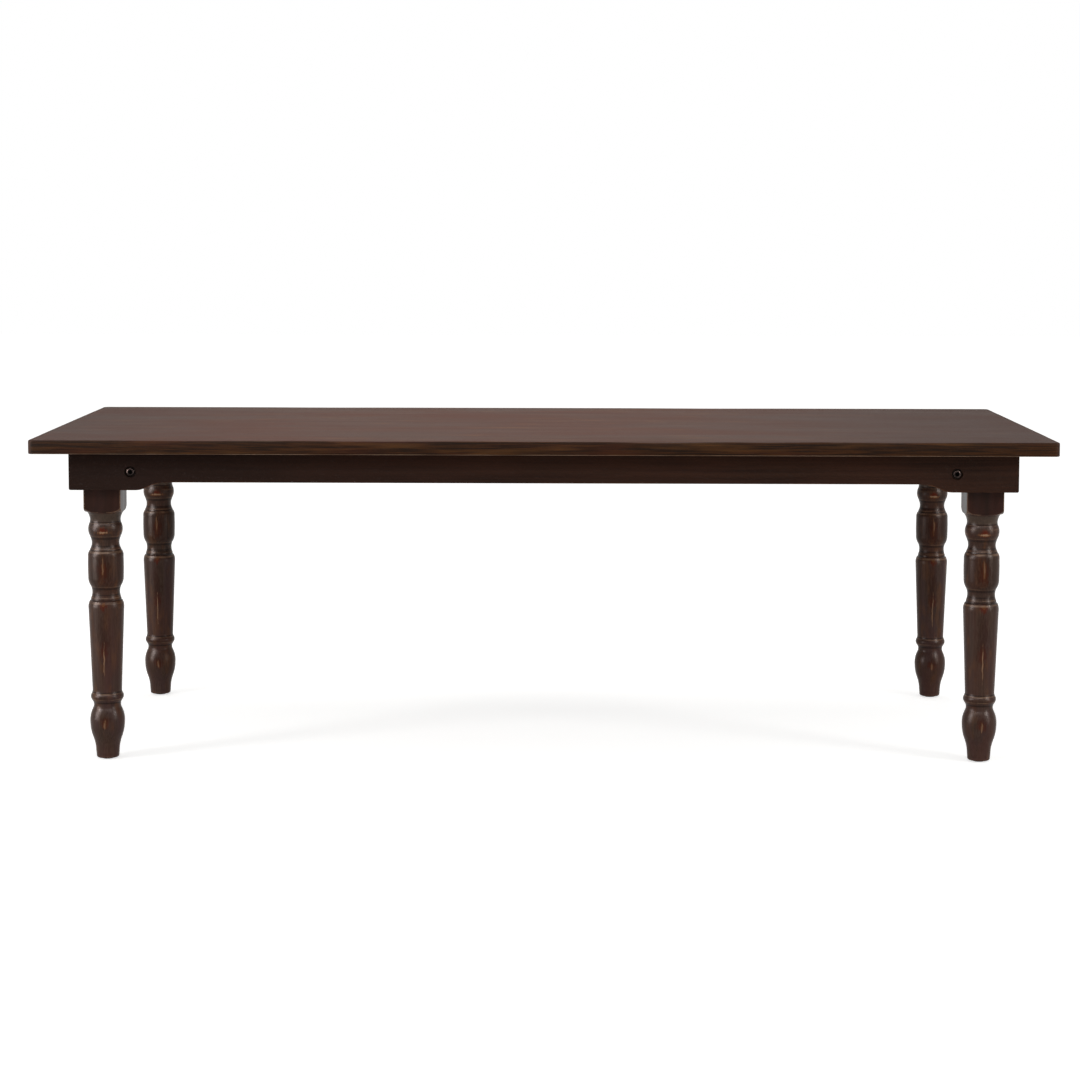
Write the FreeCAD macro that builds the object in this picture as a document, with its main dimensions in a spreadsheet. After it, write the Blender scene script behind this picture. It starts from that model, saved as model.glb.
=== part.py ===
import FreeCAD, Part
import os
import re
import Sketcher

# Farmhouse dining table with two folding leg frames, in millimetres.
# X runs along the table, Y from front to back, Z up; the origin lies on the
# floor under the middle of the table. A leg frame turns about two bolts that
# pass through the long aprons into the ends of its cross rail.

sizes = {
    # Table
    "tableLength": 2438,
    "tableWidth": 1016,
    "tableHeight": 781,
    "topThickness": 33,
    "topCornerRadius": 12,
    "topArris": 2.5,
    # Aprons
    "apronThickness": 19,
    "apronDepth": 89,
    "apronMiddleDepth": 70,
    "apronSetback": 36,
    "apronEndOverhang": 90.4,
    "apronCornerRadius": 4,
    "apronArris": 1.2,
    "haunchFlat": 158,
    "ogeeLength": 87,
    # Turned legs
    "legBlock": 88.9,
    "legArris": 1.8,
    "legGap": 3.5,
    "swingGap": 11.2,
    "footDiameter": 54.4,
    "bulbDiameter": 82.8,
    "bulbHeight": 85,
    "neckDiameter": 64.6,
    "neckHeight": 129,
    "ringDiameter": 78.8,
    "ringHeight": 149,
    "taperFootDiameter": 70.5,
    "taperFootHeight": 167,
    "taperTopDiameter": 85.2,
    "taperTopHeight": 363.5,
    "waistDiameter": 66.4,
    "waistHeight": 401,
    "barrelDiameter": 85.8,
    "barrelHeight": 463,
    "throatDiameter": 65.8,
    "throatHeight": 522,
    "beadDiameter": 82.4,
    "beadHeight": 557.5,
    "collarDiameter": 73,
    "collarHeight": 579.5,
    "shoulderHeight": 599,
    # Glides
    "glideDiameter": 30,
    "glideThickness": 3,
    "glideArris": 0.8,
    "nailDiameter": 3,
    "nailLength": 15,
    # Cross rails and their pivots
    "railWidth": 55,
    "railHeight": 64,
    "railRounding": 3,
    "pivotDrop": 45.5,
    "boltDiameter": 10,
    "boltBite": 52,
    "boltTip": 1,
    "headDiameter": 20,
    "headThickness": 5,
    "headRounding": 1.6,
    "headPlay": 0.3,
    "socketFlats": 8,
    "socketDepth": 3.5,
    "boreDiameter": 27,
    "boreDepth": 7.5,
    "sleeveDiameter": 14,
    "flangeDiameter": 22,
    "flangeThickness": 1.5,
    "washerDiameter": 25,
    "washerPlay": 0.4,
    "nutDiameter": 15,
    "nutLength": 22,
    "nutInset": 40,
    # Screws from rail to leg
    "lagDiameter": 8,
    "lagLength": 90,
    "lagTip": 8,
    "lagHeadFlats": 13,
    "lagHeadHeight": 5.3,
    "lagSpread": 22,
    "lagRise": 18,
    # Battens, cleats and wood screws under the top
    "battenWidth": 90,
    "battenThickness": 20,
    "battenBevel": 3,
    "battenEndGap": 1,
    "battenSwing": 48,
    "cleatSize": 22,
    "cleatBevel": 9,
    "cleatLength": 120,
    "endCleatInset": 153,
    "screwDiameter": 4.5,
    "screwLength": 46,
    "screwTip": 7,
    "screwHeadDiameter": 9.5,
    "screwHeadHeight": 2.8,
    # Dowels from end apron to long apron
    "dowelDiameter": 8,
    "dowelLength": 38,
    "dowelBite": 10,
    "dowelSpacing": 44,
    # Barrel bolts that lock the leg frames
    "lockPlateLength": 86,
    "lockPlateWidth": 40,
    "lockPlateThickness": 2.5,
    "lockPlateInset": 2,
    "guideRadius": 8.5,
    "guideLength": 14,
    "rodDiameter": 10,
    "rodLength": 122,
    "rodTip": 1.5,
    "lockTipGap": 1.4,
    "lockBite": 15,
    "knobInset": 72,
    "knobStem": 6,
    "knobStemRise": 2,
    "knobDiameter": 16,
    "knobTop": 12,
    "knobBottom": 25,
    "lockScrewDiameter": 3.5,
    "lockScrewLength": 16,
    "lockScrewTip": 5,
    "lockScrewHeadDiameter": 7,
    "lockScrewHeadHeight": 2,
    "lockScrewSpreadX": 26,
    "lockScrewSpreadY": 14.5,
    # Fits
    "runningFit": 0.05,
    "looseFit": 0.5,
    "socketFit": 0.75,
    "drillFit": 0.1,
    "drillRoom": 1.5,
    "overrun": 5,
}

plankCount = 6
cleatCount = 4
battenPlaces = ("-lockBattenX", "0", "lockBattenX")

# Rounding of a leg's block down to its shoulder, as a share of half the block:
# it has to reach the block's corners, which stand out by sqrt(2) - 1 = 0.414
pommelShare = 0.43

derived = {
    "underside": "tableHeight - topThickness",
    "plankWidth": f"tableWidth / {plankCount}",
    "apronHalf": "tableLength / 2 - apronEndOverhang",
    "apronInner": "tableWidth / 2 - apronSetback - apronThickness",
    "blockHalf": "legBlock / 2",
    "pommelRound": f"blockHalf * {pommelShare}",
    "legX": "apronHalf - apronThickness - swingGap - blockHalf",
    "legY": "apronInner - legGap - blockHalf",
    "legLength": "underside - glideThickness",
    "pivotX": "legX - blockHalf - railWidth / 2",
    "pivotZ": "underside - pivotDrop",
    "railHalf": "legY + blockHalf",
    "railReach": "sqrt(railWidth ^ 2 + railHeight ^ 2) / 2",
    "boreFloor": "legGap + apronThickness - boreDepth",
    "lockBattenX": "pivotX - battenSwing - battenWidth / 2",
    "lockPlateX": "lockBattenX + battenWidth / 2 - lockPlateInset",
    "lockRise": "pivotDrop - battenThickness - lockPlateThickness - guideRadius",
    "lockTipX": "pivotX - railReach - lockTipGap",
    "lockTravel": "lockTipGap + railReach - railWidth / 2 + lockBite",
    "endCleatX": "apronHalf - apronThickness - cleatSize / 2",
    "endCleatLength": "2 * (apronInner - endCleatInset)",
    "cleatPitch": "lockBattenX / 2",
    "cleatY": "apronSetback + apronThickness + cleatSize / 2",
    "dowelX": "apronHalf - apronThickness / 2",
}

# Drops of the dowels' middles below the top edge of an apron
dowelDrops = ("(apronDepth - dowelSpacing) / 2", "(apronDepth + dowelSpacing) / 2")

# Middle of a quarter turn's arc, as a share of its radius
quarterShare = 0.29289

# Ogee under an apron's haunch, from the flat to the middle: shares of its
# length and of its rise; the second point of each pair lies on the arc.
ogeeShares = [
    ((0, 0), (0.184, 0.116)),
    ((0.333, 0.42), (0.54, 0.78)),
    ((1, 1), None),
]

# Outline that the lathe leaves, from the floor up. Each row lies between two
# stations, by its share of their difference in radius and in height. A row
# marked "through" is the middle of the arc from the row above to the one below.
turningShares = [
    ("foot", "bulb", -0.26, 0.0, "corner"),
    ("foot", "bulb", -0.07, 0.015, "through"),
    ("foot", "bulb", 0.0, 0.048, "corner"),
    ("foot", "bulb", 0.07, 0.205, "corner"),
    ("foot", "bulb", 0.21, 0.404, "through"),
    ("foot", "bulb", 0.48, 0.566, "corner"),
    ("foot", "bulb", 0.845, 0.77, "through"),
    ("foot", "bulb", 1.0, 1.0, "corner"),
    ("bulb", "neck", 0.22, 0.51, "through"),
    ("bulb", "neck", 0.857, 0.849, "corner"),
    ("bulb", "neck", 1.0, 1.0, "through"),
    ("neck", "ring", 0.155, 0.333, "corner"),
    ("neck", "ring", 0.746, 0.682, "corner"),
    ("neck", "ring", 1.0, 1.0, "through"),
    ("ring", "taperFoot", 0.58, 0.43, "corner"),
    ("ring", "taperFoot", 0.94, 0.686, "through"),
    ("ring", "taperFoot", 1.0, 1.0, "corner"),
    ("taperFoot", "taperTop", 1.0, 1.0, "corner"),
    ("taperTop", "waist", 0.053, 0.288, "through"),
    ("taperTop", "waist", 0.34, 0.493, "corner"),
    ("taperTop", "waist", 0.638, 0.548, "corner"),
    ("taperTop", "waist", 0.68, 0.671, "corner"),
    ("taperTop", "waist", 1.0, 1.0, "through"),
    ("waist", "barrel", 0.175, 0.223, "corner"),
    ("waist", "barrel", 0.31, 0.273, "corner"),
    ("waist", "barrel", 0.742, 0.413, "through"),
    ("waist", "barrel", 0.948, 0.653, "corner"),
    ("waist", "barrel", 1.0, 1.0, "through"),
    ("barrel", "throat", 0.04, 0.431, "corner"),
    ("barrel", "throat", 0.11, 0.586, "through"),
    ("barrel", "throat", 0.34, 0.681, "corner"),
    ("barrel", "throat", 0.49, 0.707, "corner"),
    ("barrel", "throat", 0.63, 0.776, "corner"),
    ("barrel", "throat", 1.0, 1.0, "through"),
    ("throat", "bead", 0.277, 0.348, "corner"),
    ("throat", "bead", 0.494, 0.493, "corner"),
    ("throat", "bead", 1.0, 1.0, "through"),
    ("bead", "collar", 0.83, 0.66, "corner"),
    ("bead", "collar", 1.0, 1.0, "through"),
    ("collar", "shoulder", 0.226, 0.429, "corner"),
    ("collar", "shoulder", 0.54, 0.745, "through"),
    ("collar", "shoulder", 1.0, 1.0, "corner"),
]

# Signs of the four screws round a lock plate
fourCorners = [(-1, -1), (-1, 1), (1, -1), (1, 1)]

# Head of a wood screw, at its crown and at its rim: shares of radius and height
crownShares = [(0.62, 1), (1, 0.4)]

# Pull knob: shares of its radius and of its height
knobShares = [(0.55, 0), (1, 0.3), (1, 0.75), (0.7, 1)]

# How near two lengths are to count as one, when an edge is picked
tolerance = 1e-4

doc = FreeCAD.newDocument("farmhouse_table")
sheet = doc.addObject("Spreadsheet::Sheet", "Sizes")
nodes = []


def fillSheet():
    row = 0
    for name, number in sizes.items():
        row += 1
        sheet.set(f"A{row}", name)
        sheet.set(f"B{row}", str(number))
        sheet.setAlias(f"B{row}", name)
    for name, formula in derived.items():
        row += 1
        sheet.set(f"A{row}", name)
        sheet.set(f"B{row}", "=" + formula)
        sheet.setAlias(f"B{row}", name)
    doc.recompute()


def bound(formula):
    # A formula on the sheet's names, as the other objects read it
    def fromSheet(word):
        name = word.group(0)
        return "Sizes." + name if name in sizes or name in derived else name
    return re.sub(r"[A-Za-z]\w*", fromSheet, str(formula))


def value(formula):
    return float(sheet.evalExpression(bound(formula)))


def compute(*things):
    # Works out only what has just changed, in its order
    for thing in things:
        thing.recompute()
        thing.purgeTouched()


def newBody(name):
    return doc.addObject("PartDesign::Body", name)


def newSketch(body, role):
    sketch = body.newObject("Sketcher::SketchObject", body.Name + "_sketch")
    plane = [item for item in body.Origin.OriginFeatures if item.Role == role][0]
    sketch.AttachmentSupport = [(plane, "")]
    sketch.MapMode = "FlatFace"
    return sketch


def drawOutline(sketch, corners, through=None):
    # A closed outline of lines; "through" gives the side numbers that are
    # arcs, with a point that each arc passes through.
    through = through or {}
    points = [FreeCAD.Vector(value(u), value(v), 0) for u, v in corners]
    count = len(points)
    sides = []
    rules = []
    places = {}

    def holdPoint(geometry, end, u, v):
        # Ties one point to the sketch's origin by two distances, bound below
        for kind, formula in (("DistanceX", u), ("DistanceY", v)):
            rule = Sketcher.Constraint(kind, -1, 1, geometry, end, value(formula))
            rule.Name = f"place{sketch.ConstraintCount + len(rules)}"
            places[rule.Name] = formula
            rules.append(rule)

    for side in range(count):
        start = points[side]
        end = points[(side + 1) % count]
        if side in through:
            u, v = through[side]
            middle = FreeCAD.Vector(value(u), value(v), 0)
            line = sketch.addGeometry(Part.Arc(start, middle, end))
        else:
            line = sketch.addGeometry(Part.LineSegment(start, end))
        first = sketch.getPoint(line, 1).distanceToPoint(start)
        last = sketch.getPoint(line, 2).distanceToPoint(start)
        sides.append((line, 1, 2) if first < last else (line, 2, 1))
    for side in range(count):
        line, start, end = sides[side]
        nextLine, nextStart, _ = sides[(side + 1) % count]
        rules.append(Sketcher.Constraint("Coincident", line, end, nextLine, nextStart))
        holdPoint(line, start, *corners[side])
    for side, (u, v) in through.items():
        middle = FreeCAD.Vector(value(u), value(v), 0)
        point = sketch.addGeometry(Part.Point(middle), True)
        holdPoint(point, 1, u, v)
        rules.append(Sketcher.Constraint("PointOnObject", point, 1, sides[side][0]))
    sketch.addConstraint(rules)
    for name, formula in places.items():
        sketch.setExpression("Constraints." + name, bound(formula))


def rectangle(lowU, highU, lowV, highV):
    return [(lowU, lowV), (highU, lowV), (highU, highV), (lowU, highV)]


def pad(body, sketch, length):
    feature = body.newObject("PartDesign::Pad", body.Name + "_pad")
    feature.Profile = sketch
    feature.setExpression("Length", bound(length))
    compute(sketch, feature)
    return feature


def revolve(body, sketch):
    feature = body.newObject("PartDesign::Revolution", body.Name + "_turn")
    feature.Profile = sketch
    feature.ReferenceAxis = (sketch, ["V_Axis"])
    compute(sketch, feature)
    return feature


def setPlace(thing, x, y, z):
    for letter, formula in (("x", x), ("y", y), ("z", z)):
        thing.setExpression("Placement.Base." + letter, bound(formula))


turns = {
    "+Z": FreeCAD.Rotation(),
    "-Z": FreeCAD.Rotation(FreeCAD.Vector(1, 0, 0), 180),
    "+Y": FreeCAD.Rotation(FreeCAD.Vector(1, 0, 0), -90),
    "-Y": FreeCAD.Rotation(FreeCAD.Vector(1, 0, 0), 90),
    "+X": FreeCAD.Rotation(FreeCAD.Vector(0, 1, 0), 90),
    "-X": FreeCAD.Rotation(FreeCAD.Vector(0, 1, 0), -90),
}
halfTurn = FreeCAD.Rotation(FreeCAD.Vector(0, 0, 1), 180)


def primitive(body, kind, fields, x, y, z, way="+Z"):
    # A box, cylinder or prism that adds to the body or cuts it
    before = body.Tip.Shape.Volume if body.Tip else 0
    feature = body.newObject("PartDesign::" + kind, body.Name + "_" + kind)
    for field, formula in fields.items():
        feature.setExpression(field, bound(formula))
    feature.Placement = FreeCAD.Placement(FreeCAD.Vector(), turns[way])
    setPlace(feature, x, y, z)
    compute(feature)
    change = feature.Shape.Volume - before
    if kind.startswith("Subtractive") and change >= 0:
        raise RuntimeError(f"{body.Name}: a {kind} cuts nothing")
    if kind.startswith("Additive") and change <= 0:
        raise RuntimeError(f"{body.Name}: a {kind} adds nothing")
    return feature


def drill(body, diameter, depth, x, y, z, way):
    # A round hole that starts at a face and runs one way into the body
    start = {"x": x, "y": y, "z": z}
    letter = way[1].lower()
    back = "-" if way[0] == "+" else "+"
    start[letter] = f"{start[letter]} {back} overrun"
    fields = {"Radius": f"({diameter}) / 2", "Height": f"{depth} + overrun"}
    return primitive(body, "SubtractiveCylinder", fields, start["x"], start["y"], start["z"], way)


def dressEdges(body, kind, field, formula, chosen):
    # A fillet or chamfer on the edges that "chosen" picks
    base = body.Tip
    names = [f"Edge{index + 1}" for index, edge in enumerate(base.Shape.Edges) if chosen(edge)]
    if not names:
        raise RuntimeError(f"{body.Name}: no edge to dress")
    feature = body.newObject("PartDesign::" + kind, body.Name + "_" + kind)
    feature.Base = (base, names)
    feature.setExpression(field, bound(formula))
    compute(feature)
    return feature


def near(a, b):
    return abs(a - b) < tolerance


def finish(body, name, x="0", y="0", z="0", turn=None):
    # Names a sub-part and puts it in its place
    body.Label = name
    body.Placement = FreeCAD.Placement(FreeCAD.Vector(), turn or FreeCAD.Rotation())
    setPlace(body, x, y, z)
    compute(body)
    nodes.append(body)


def plankMiddles():
    # Where each batten has a screw
    return [f"{index - (plankCount - 1) / 2} * plankWidth" for index in range(plankCount)]


def cleatPlaces():
    # Middles of the cleats along a long apron
    return [f"{index - (cleatCount - 1) / 2} * cleatPitch" for index in range(cleatCount)]


def makePlank(number):
    # The plank's outer edge lies at its own y of zero
    name = f"top_plank_{number}"
    outer = number in (1, plankCount)
    body = newBody(name)
    sketch = newSketch(body, "XY_Plane")
    drawOutline(sketch, rectangle("-tableLength / 2", "tableLength / 2", "0", "plankWidth"))
    pad(body, sketch, "topThickness")
    half = value("tableLength / 2")
    thickness = value("topThickness")
    curveStart = value("tableLength / 2 - topCornerRadius")

    def atCorner(edge):
        box = edge.BoundBox
        return near(box.ZLength, thickness) and near(box.YMin, 0)

    def atRim(edge):
        # The end grain's edges, and on an outer plank the long edge and its curves
        box = edge.BoundBox
        middle = abs(edge.CenterOfMass.x)
        if not near(box.ZLength, 0):
            return False
        longEdge = near(box.YMax, 0) and box.XLength > half
        curve = outer and curveStart < middle and near(box.YMin, 0) and not near(box.YMax, 0)
        return near(middle, half) or outer and longEdge or curve

    if outer:
        dressEdges(body, "Fillet", "Radius", "topCornerRadius", atCorner)
    drillings = [(x, "plankWidth / 2", "battenThickness") for x in battenPlaces]
    if outer:
        drillings += [(x, "cleatY", "cleatSize") for x in cleatPlaces()]
    if number in (2, plankCount - 1):
        drillings += [(x, "plankWidth / 2", "cleatSize") for x in ("-endCleatX", "endCleatX")]
    for x, y, carried in drillings:
        depth = f"screwLength - {carried} + drillRoom"
        drill(body, "screwDiameter + 2 * drillFit", depth, x, y, "0", "+Z")
    dressEdges(body, "Fillet", "Radius", "topArris", atRim)
    if number == plankCount:
        finish(body, name, "0", "tableWidth / 2", "underside", halfTurn)
    else:
        finish(body, name, "0", f"{number - 1} * plankWidth - tableWidth / 2", "underside")


def makeLongApron(name, back):
    # Inner face at the apron's own y of zero, top edge at its z of zero
    body = newBody(name)
    sketch = newSketch(body, "XZ_Plane")
    corners = [("-apronHalf", "0"), ("apronHalf", "0"), ("apronHalf", "-apronDepth")]
    through = {}
    for side in (1, -1):
        ogee = ogeeShares if side == 1 else ogeeShares[::-1]
        for index, (corner, _) in enumerate(ogee):
            along, up = corner
            x = f"{side} * (apronHalf - haunchFlat - ogeeLength * {along})"
            z = f"-apronDepth + (apronDepth - apronMiddleDepth) * {up}"
            corners.append((x, z))
            if index < len(ogee) - 1:
                along, up = (ogee[index] if side == 1 else ogee[index + 1])[1]
                x = f"{side} * (apronHalf - haunchFlat - ogeeLength * {along})"
                z = f"-apronDepth + (apronDepth - apronMiddleDepth) * {up}"
                through[len(corners) - 1] = (x, z)
    corners.append(("-apronHalf", "-apronDepth"))
    drawOutline(sketch, corners, through)
    pad(body, sketch, "apronThickness")
    half = value("apronHalf")
    depth = value("apronDepth")
    thickness = value("apronThickness")

    def atLowCorner(edge):
        box = edge.BoundBox
        return near(box.YLength, thickness) and near(abs(box.XMin), half) and near(box.ZMin, -depth)
    dressEdges(body, "Fillet", "Radius", "apronCornerRadius", atLowCorner)

    def atFaceRim(edge):
        # The outer face's outline but for its top edge
        box = edge.BoundBox
        return near(box.YMax, -thickness) and not near(box.ZMin, 0)
    dressEdges(body, "Fillet", "Radius", "apronArris", atFaceRim)
    sleeveHole = "sleeveDiameter + 2 * runningFit"
    for x in ("-pivotX", "pivotX"):
        drill(body, sleeveHole, "apronThickness + overrun", x, "0", "-pivotDrop", "-Y")
        drill(body, "boreDiameter", "boreDepth", x, "-apronThickness", "-pivotDrop", "+Y")
    for x in ("-dowelX", "dowelX"):
        for drop in dowelDrops:
            depthFormula = "dowelBite + drillRoom"
            drill(body, "dowelDiameter + 2 * drillFit", depthFormula, x, "0", f"-{drop}", "-Y")
    y = "apronInner" if back else "-apronInner"
    finish(body, name, "0", y, "underside", halfTurn if back else None)


def makeEndApron(name, left):
    # Inner face at the apron's own x of zero, top edge at its z of zero
    body = newBody(name)
    sketch = newSketch(body, "YZ_Plane")
    drawOutline(sketch, rectangle("-apronInner", "apronInner", "-apronDepth", "0"))
    pad(body, sketch, "apronThickness")
    depth = value("apronDepth")
    thickness = value("apronThickness")

    def atLowRim(edge):
        box = edge.BoundBox
        return near(box.ZMax, -depth) and near(box.XMin, thickness) and box.YLength > thickness
    dressEdges(body, "Fillet", "Radius", "apronArris", atLowRim)
    hole = "dowelDiameter + 2 * drillFit"
    for y, way in (("-apronInner", "+Y"), ("apronInner", "-Y")):
        for drop in dowelDrops:
            depthFormula = "dowelLength - dowelBite + drillRoom"
            drill(body, hole, depthFormula, "apronThickness / 2", y, f"-{drop}", way)
    x = "(apronHalf - apronThickness)"
    finish(body, name, f"-{x}" if left else x, "0", "underside", halfTurn if left else None)


def makeLongCleats(name, back):
    # Glue blocks in the corner under the top, four in a row
    body = newBody(name)
    sketch = newSketch(body, "XY_Plane")
    for x in cleatPlaces():
        drawOutline(sketch, rectangle(f"{x} - cleatLength / 2", f"{x} + cleatLength / 2", "0", "cleatSize"))
    pad(body, sketch, "cleatSize")
    side = value("cleatSize")

    def atLowRim(edge):
        box = edge.BoundBox
        return near(box.YMin, side) and near(box.ZMax, 0)
    dressEdges(body, "Chamfer", "Size", "cleatBevel", atLowRim)
    for x in cleatPlaces():
        drill(body, "screwDiameter + looseFit", "cleatSize + overrun", x, "cleatSize / 2", "0", "+Z")
    y = "apronInner" if back else "-apronInner"
    finish(body, name, "0", y, "underside - cleatSize", halfTurn if back else None)


def makeEndCleat(name, left):
    body = newBody(name)
    sketch = newSketch(body, "XY_Plane")
    drawOutline(sketch, rectangle("-cleatSize", "0", "-endCleatLength / 2", "endCleatLength / 2"))
    pad(body, sketch, "cleatSize")
    side = value("cleatSize")

    def atLowRim(edge):
        box = edge.BoundBox
        return near(box.XMax, -side) and near(box.ZMax, 0) and box.YLength > side
    dressEdges(body, "Chamfer", "Size", "cleatBevel", atLowRim)
    for y in plankMiddles()[1::plankCount - 3]:
        drill(body, "screwDiameter + looseFit", "cleatSize + overrun", "-cleatSize / 2", y, "0", "+Z")
    x = "(apronHalf - apronThickness)"
    z = "underside - cleatSize"
    finish(body, name, f"-{x}" if left else x, "0", z, halfTurn if left else None)


def makeBatten(name, x, lock):
    # Cross batten under the planks; a lock batten also carries a barrel bolt
    body = newBody(name)
    sketch = newSketch(body, "XY_Plane")
    reach = "(apronInner - battenEndGap)"
    drawOutline(sketch, rectangle("-battenWidth / 2", "battenWidth / 2", "-" + reach, reach))
    pad(body, sketch, "battenThickness")
    width = value("battenWidth")

    def atLowRim(edge):
        box = edge.BoundBox
        return near(box.ZMax, 0) and near(box.XLength, 0) and near(abs(box.XMin), width / 2)
    dressEdges(body, "Chamfer", "Size", "battenBevel", atLowRim)
    for y in plankMiddles():
        drill(body, "screwDiameter + looseFit", "battenThickness + overrun", "0", y, "0", "+Z")
    if lock:
        depth = "lockScrewLength - lockPlateThickness + drillRoom"
        for dx, dy in fourCorners:
            screwX = f"lockPlateX - lockPlateLength / 2 - lockBattenX + {dx} * lockScrewSpreadX"
            screwY = f"{dy} * lockScrewSpreadY"
            drill(body, "lockScrewDiameter + 2 * drillFit", depth, screwX, screwY, "0", "+Z")
    left = name.startswith("left")
    z = "underside - battenThickness"
    finish(body, name, f"-{x}" if left else x, "0", z, halfTurn if left else None)


def makeScrewBlank(name, diameter, length, tip, headDiameter, headHeight):
    # Pan-headed screw that points up, with its head below z of zero
    body = newBody(name)
    sketch = newSketch(body, "XZ_Plane")
    (crownU, crownV), (rimU, rimV) = crownShares
    corners = [
        ("0", f"-{headHeight}"),
        (f"{headDiameter} / 2 * {crownU}", f"-{headHeight} * {crownV}"),
        (f"{headDiameter} / 2 * {rimU}", f"-{headHeight} * {rimV}"),
        (f"{headDiameter} / 2", "0"),
        (f"{diameter} / 2", "0"),
        (f"{diameter} / 2", f"{length} - {tip}"),
        ("0", length),
    ]
    drawOutline(sketch, corners)
    revolve(body, sketch)
    return body


def makeLagBlank(name):
    # Hexagon-headed screw that points up, with its head below z of zero
    body = newBody(name)
    sketch = newSketch(body, "XZ_Plane")
    corners = [
        ("0", "0"),
        ("lagDiameter / 2", "0"),
        ("lagDiameter / 2", "lagLength - lagTip"),
        ("0", "lagLength"),
    ]
    drawOutline(sketch, corners)
    revolve(body, sketch)
    fields = {"Polygon": "6", "Circumradius": "lagHeadFlats / sqrt(3)", "Height": "lagHeadHeight"}
    primitive(body, "AdditivePrism", fields, "0", "0", "-lagHeadHeight")
    return body


def makeGroup(name, blank, places):
    # Copies of one fastener as separate solids: (x, y, z, way) each
    compute(blank)
    copies = []
    for x, y, z, way in places:
        solid = blank.Shape.copy()
        solid.Placement = FreeCAD.Placement(FreeCAD.Vector(value(x), value(y), value(z)), turns[way])
        copies.append(solid)
    group = doc.addObject("Part::Feature", name)
    group.Shape = Part.makeCompound(copies)
    group.Label = name
    group.Placement = FreeCAD.Placement()
    nodes.append(group)


def station(kind, what):
    # Radius or height of one station of the turning
    if kind == "foot":
        return "footDiameter / 2" if what == "radius" else "0"
    if kind == "shoulder":
        return "blockHalf" if what == "radius" else "shoulderHeight"
    return f"{kind}Diameter / 2" if what == "radius" else f"{kind}Height"


def between(low, high, what, share):
    start = station(low, what)
    return f"{start} + ({station(high, what)} - {start}) * {share}"


def makeLeg(name, outer, x, y, turn):
    # A square blank is turned on the lathe up to the shoulder of its block.
    # "outer" is the way to the apron, along the leg's own y.
    body = newBody(name)
    sketch = newSketch(body, "XY_Plane")
    drawOutline(sketch, rectangle("-blockHalf", "blockHalf", "-blockHalf", "blockHalf"))
    pad(body, sketch, "legLength")
    length = value("legLength")
    dressEdges(body, "Fillet", "Radius", "legArris", lambda edge: near(edge.BoundBox.ZLength, length))

    corners = []
    through = {}
    for low, high, across, up, kind in turningShares:
        radius = between(low, high, "radius", across)
        height = between(low, high, "height", up)
        if kind == "through":
            through[len(corners) - 1] = (radius, height)
        else:
            corners.append((radius, height))
    # The pommel is rounded over, from the flats up to the block's corners
    roundTop = "shoulderHeight + pommelRound"
    out = f"blockHalf + pommelRound * (1 - {quarterShare})"
    through[len(corners) - 1] = (out, f"shoulderHeight + pommelRound * {quarterShare}")
    corners.append(("blockHalf + pommelRound", roundTop))
    corners.append(("legBlock", roundTop))
    corners.append(("legBlock", "-overrun"))
    corners.append((corners[0][0], "-overrun"))
    before = body.Tip.Shape.Volume
    profile = newSketch(body, "XZ_Plane")
    drawOutline(profile, corners, through)
    groove = body.newObject("PartDesign::Groove", name + "_turning")
    groove.Profile = profile
    groove.ReferenceAxis = (profile, ["V_Axis"])
    compute(profile, groove)
    if groove.Shape.Volume >= before:
        raise RuntimeError(f"{name}: the turning cuts nothing")
    for dy, dz in ((outer, 1), (-outer, -1)):
        z = f"pivotZ - glideThickness + {dz} * lagRise"
        depth = "lagLength - railWidth + drillRoom"
        drill(body, "lagDiameter + 2 * drillFit", depth, "-blockHalf", f"{dy} * lagSpread", z, "+X")
    depth = "nailLength - glideThickness + drillRoom"
    drill(body, "nailDiameter + 2 * drillFit", depth, "0", "0", "0", "+Z")
    finish(body, name, x, y, "glideThickness", turn)


def makeGlide(name, x, y):
    body = newBody(name)
    sketch = newSketch(body, "XZ_Plane")
    corners = [
        ("0", "0"),
        ("glideDiameter / 2 - glideArris", "0"),
        ("glideDiameter / 2", "glideArris"),
        ("glideDiameter / 2", "glideThickness"),
        ("nailDiameter / 2", "glideThickness"),
        ("nailDiameter / 2", "nailLength"),
        ("0", "nailLength"),
    ]
    drawOutline(sketch, corners)
    revolve(body, sketch)
    finish(body, name, x, y)


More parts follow.
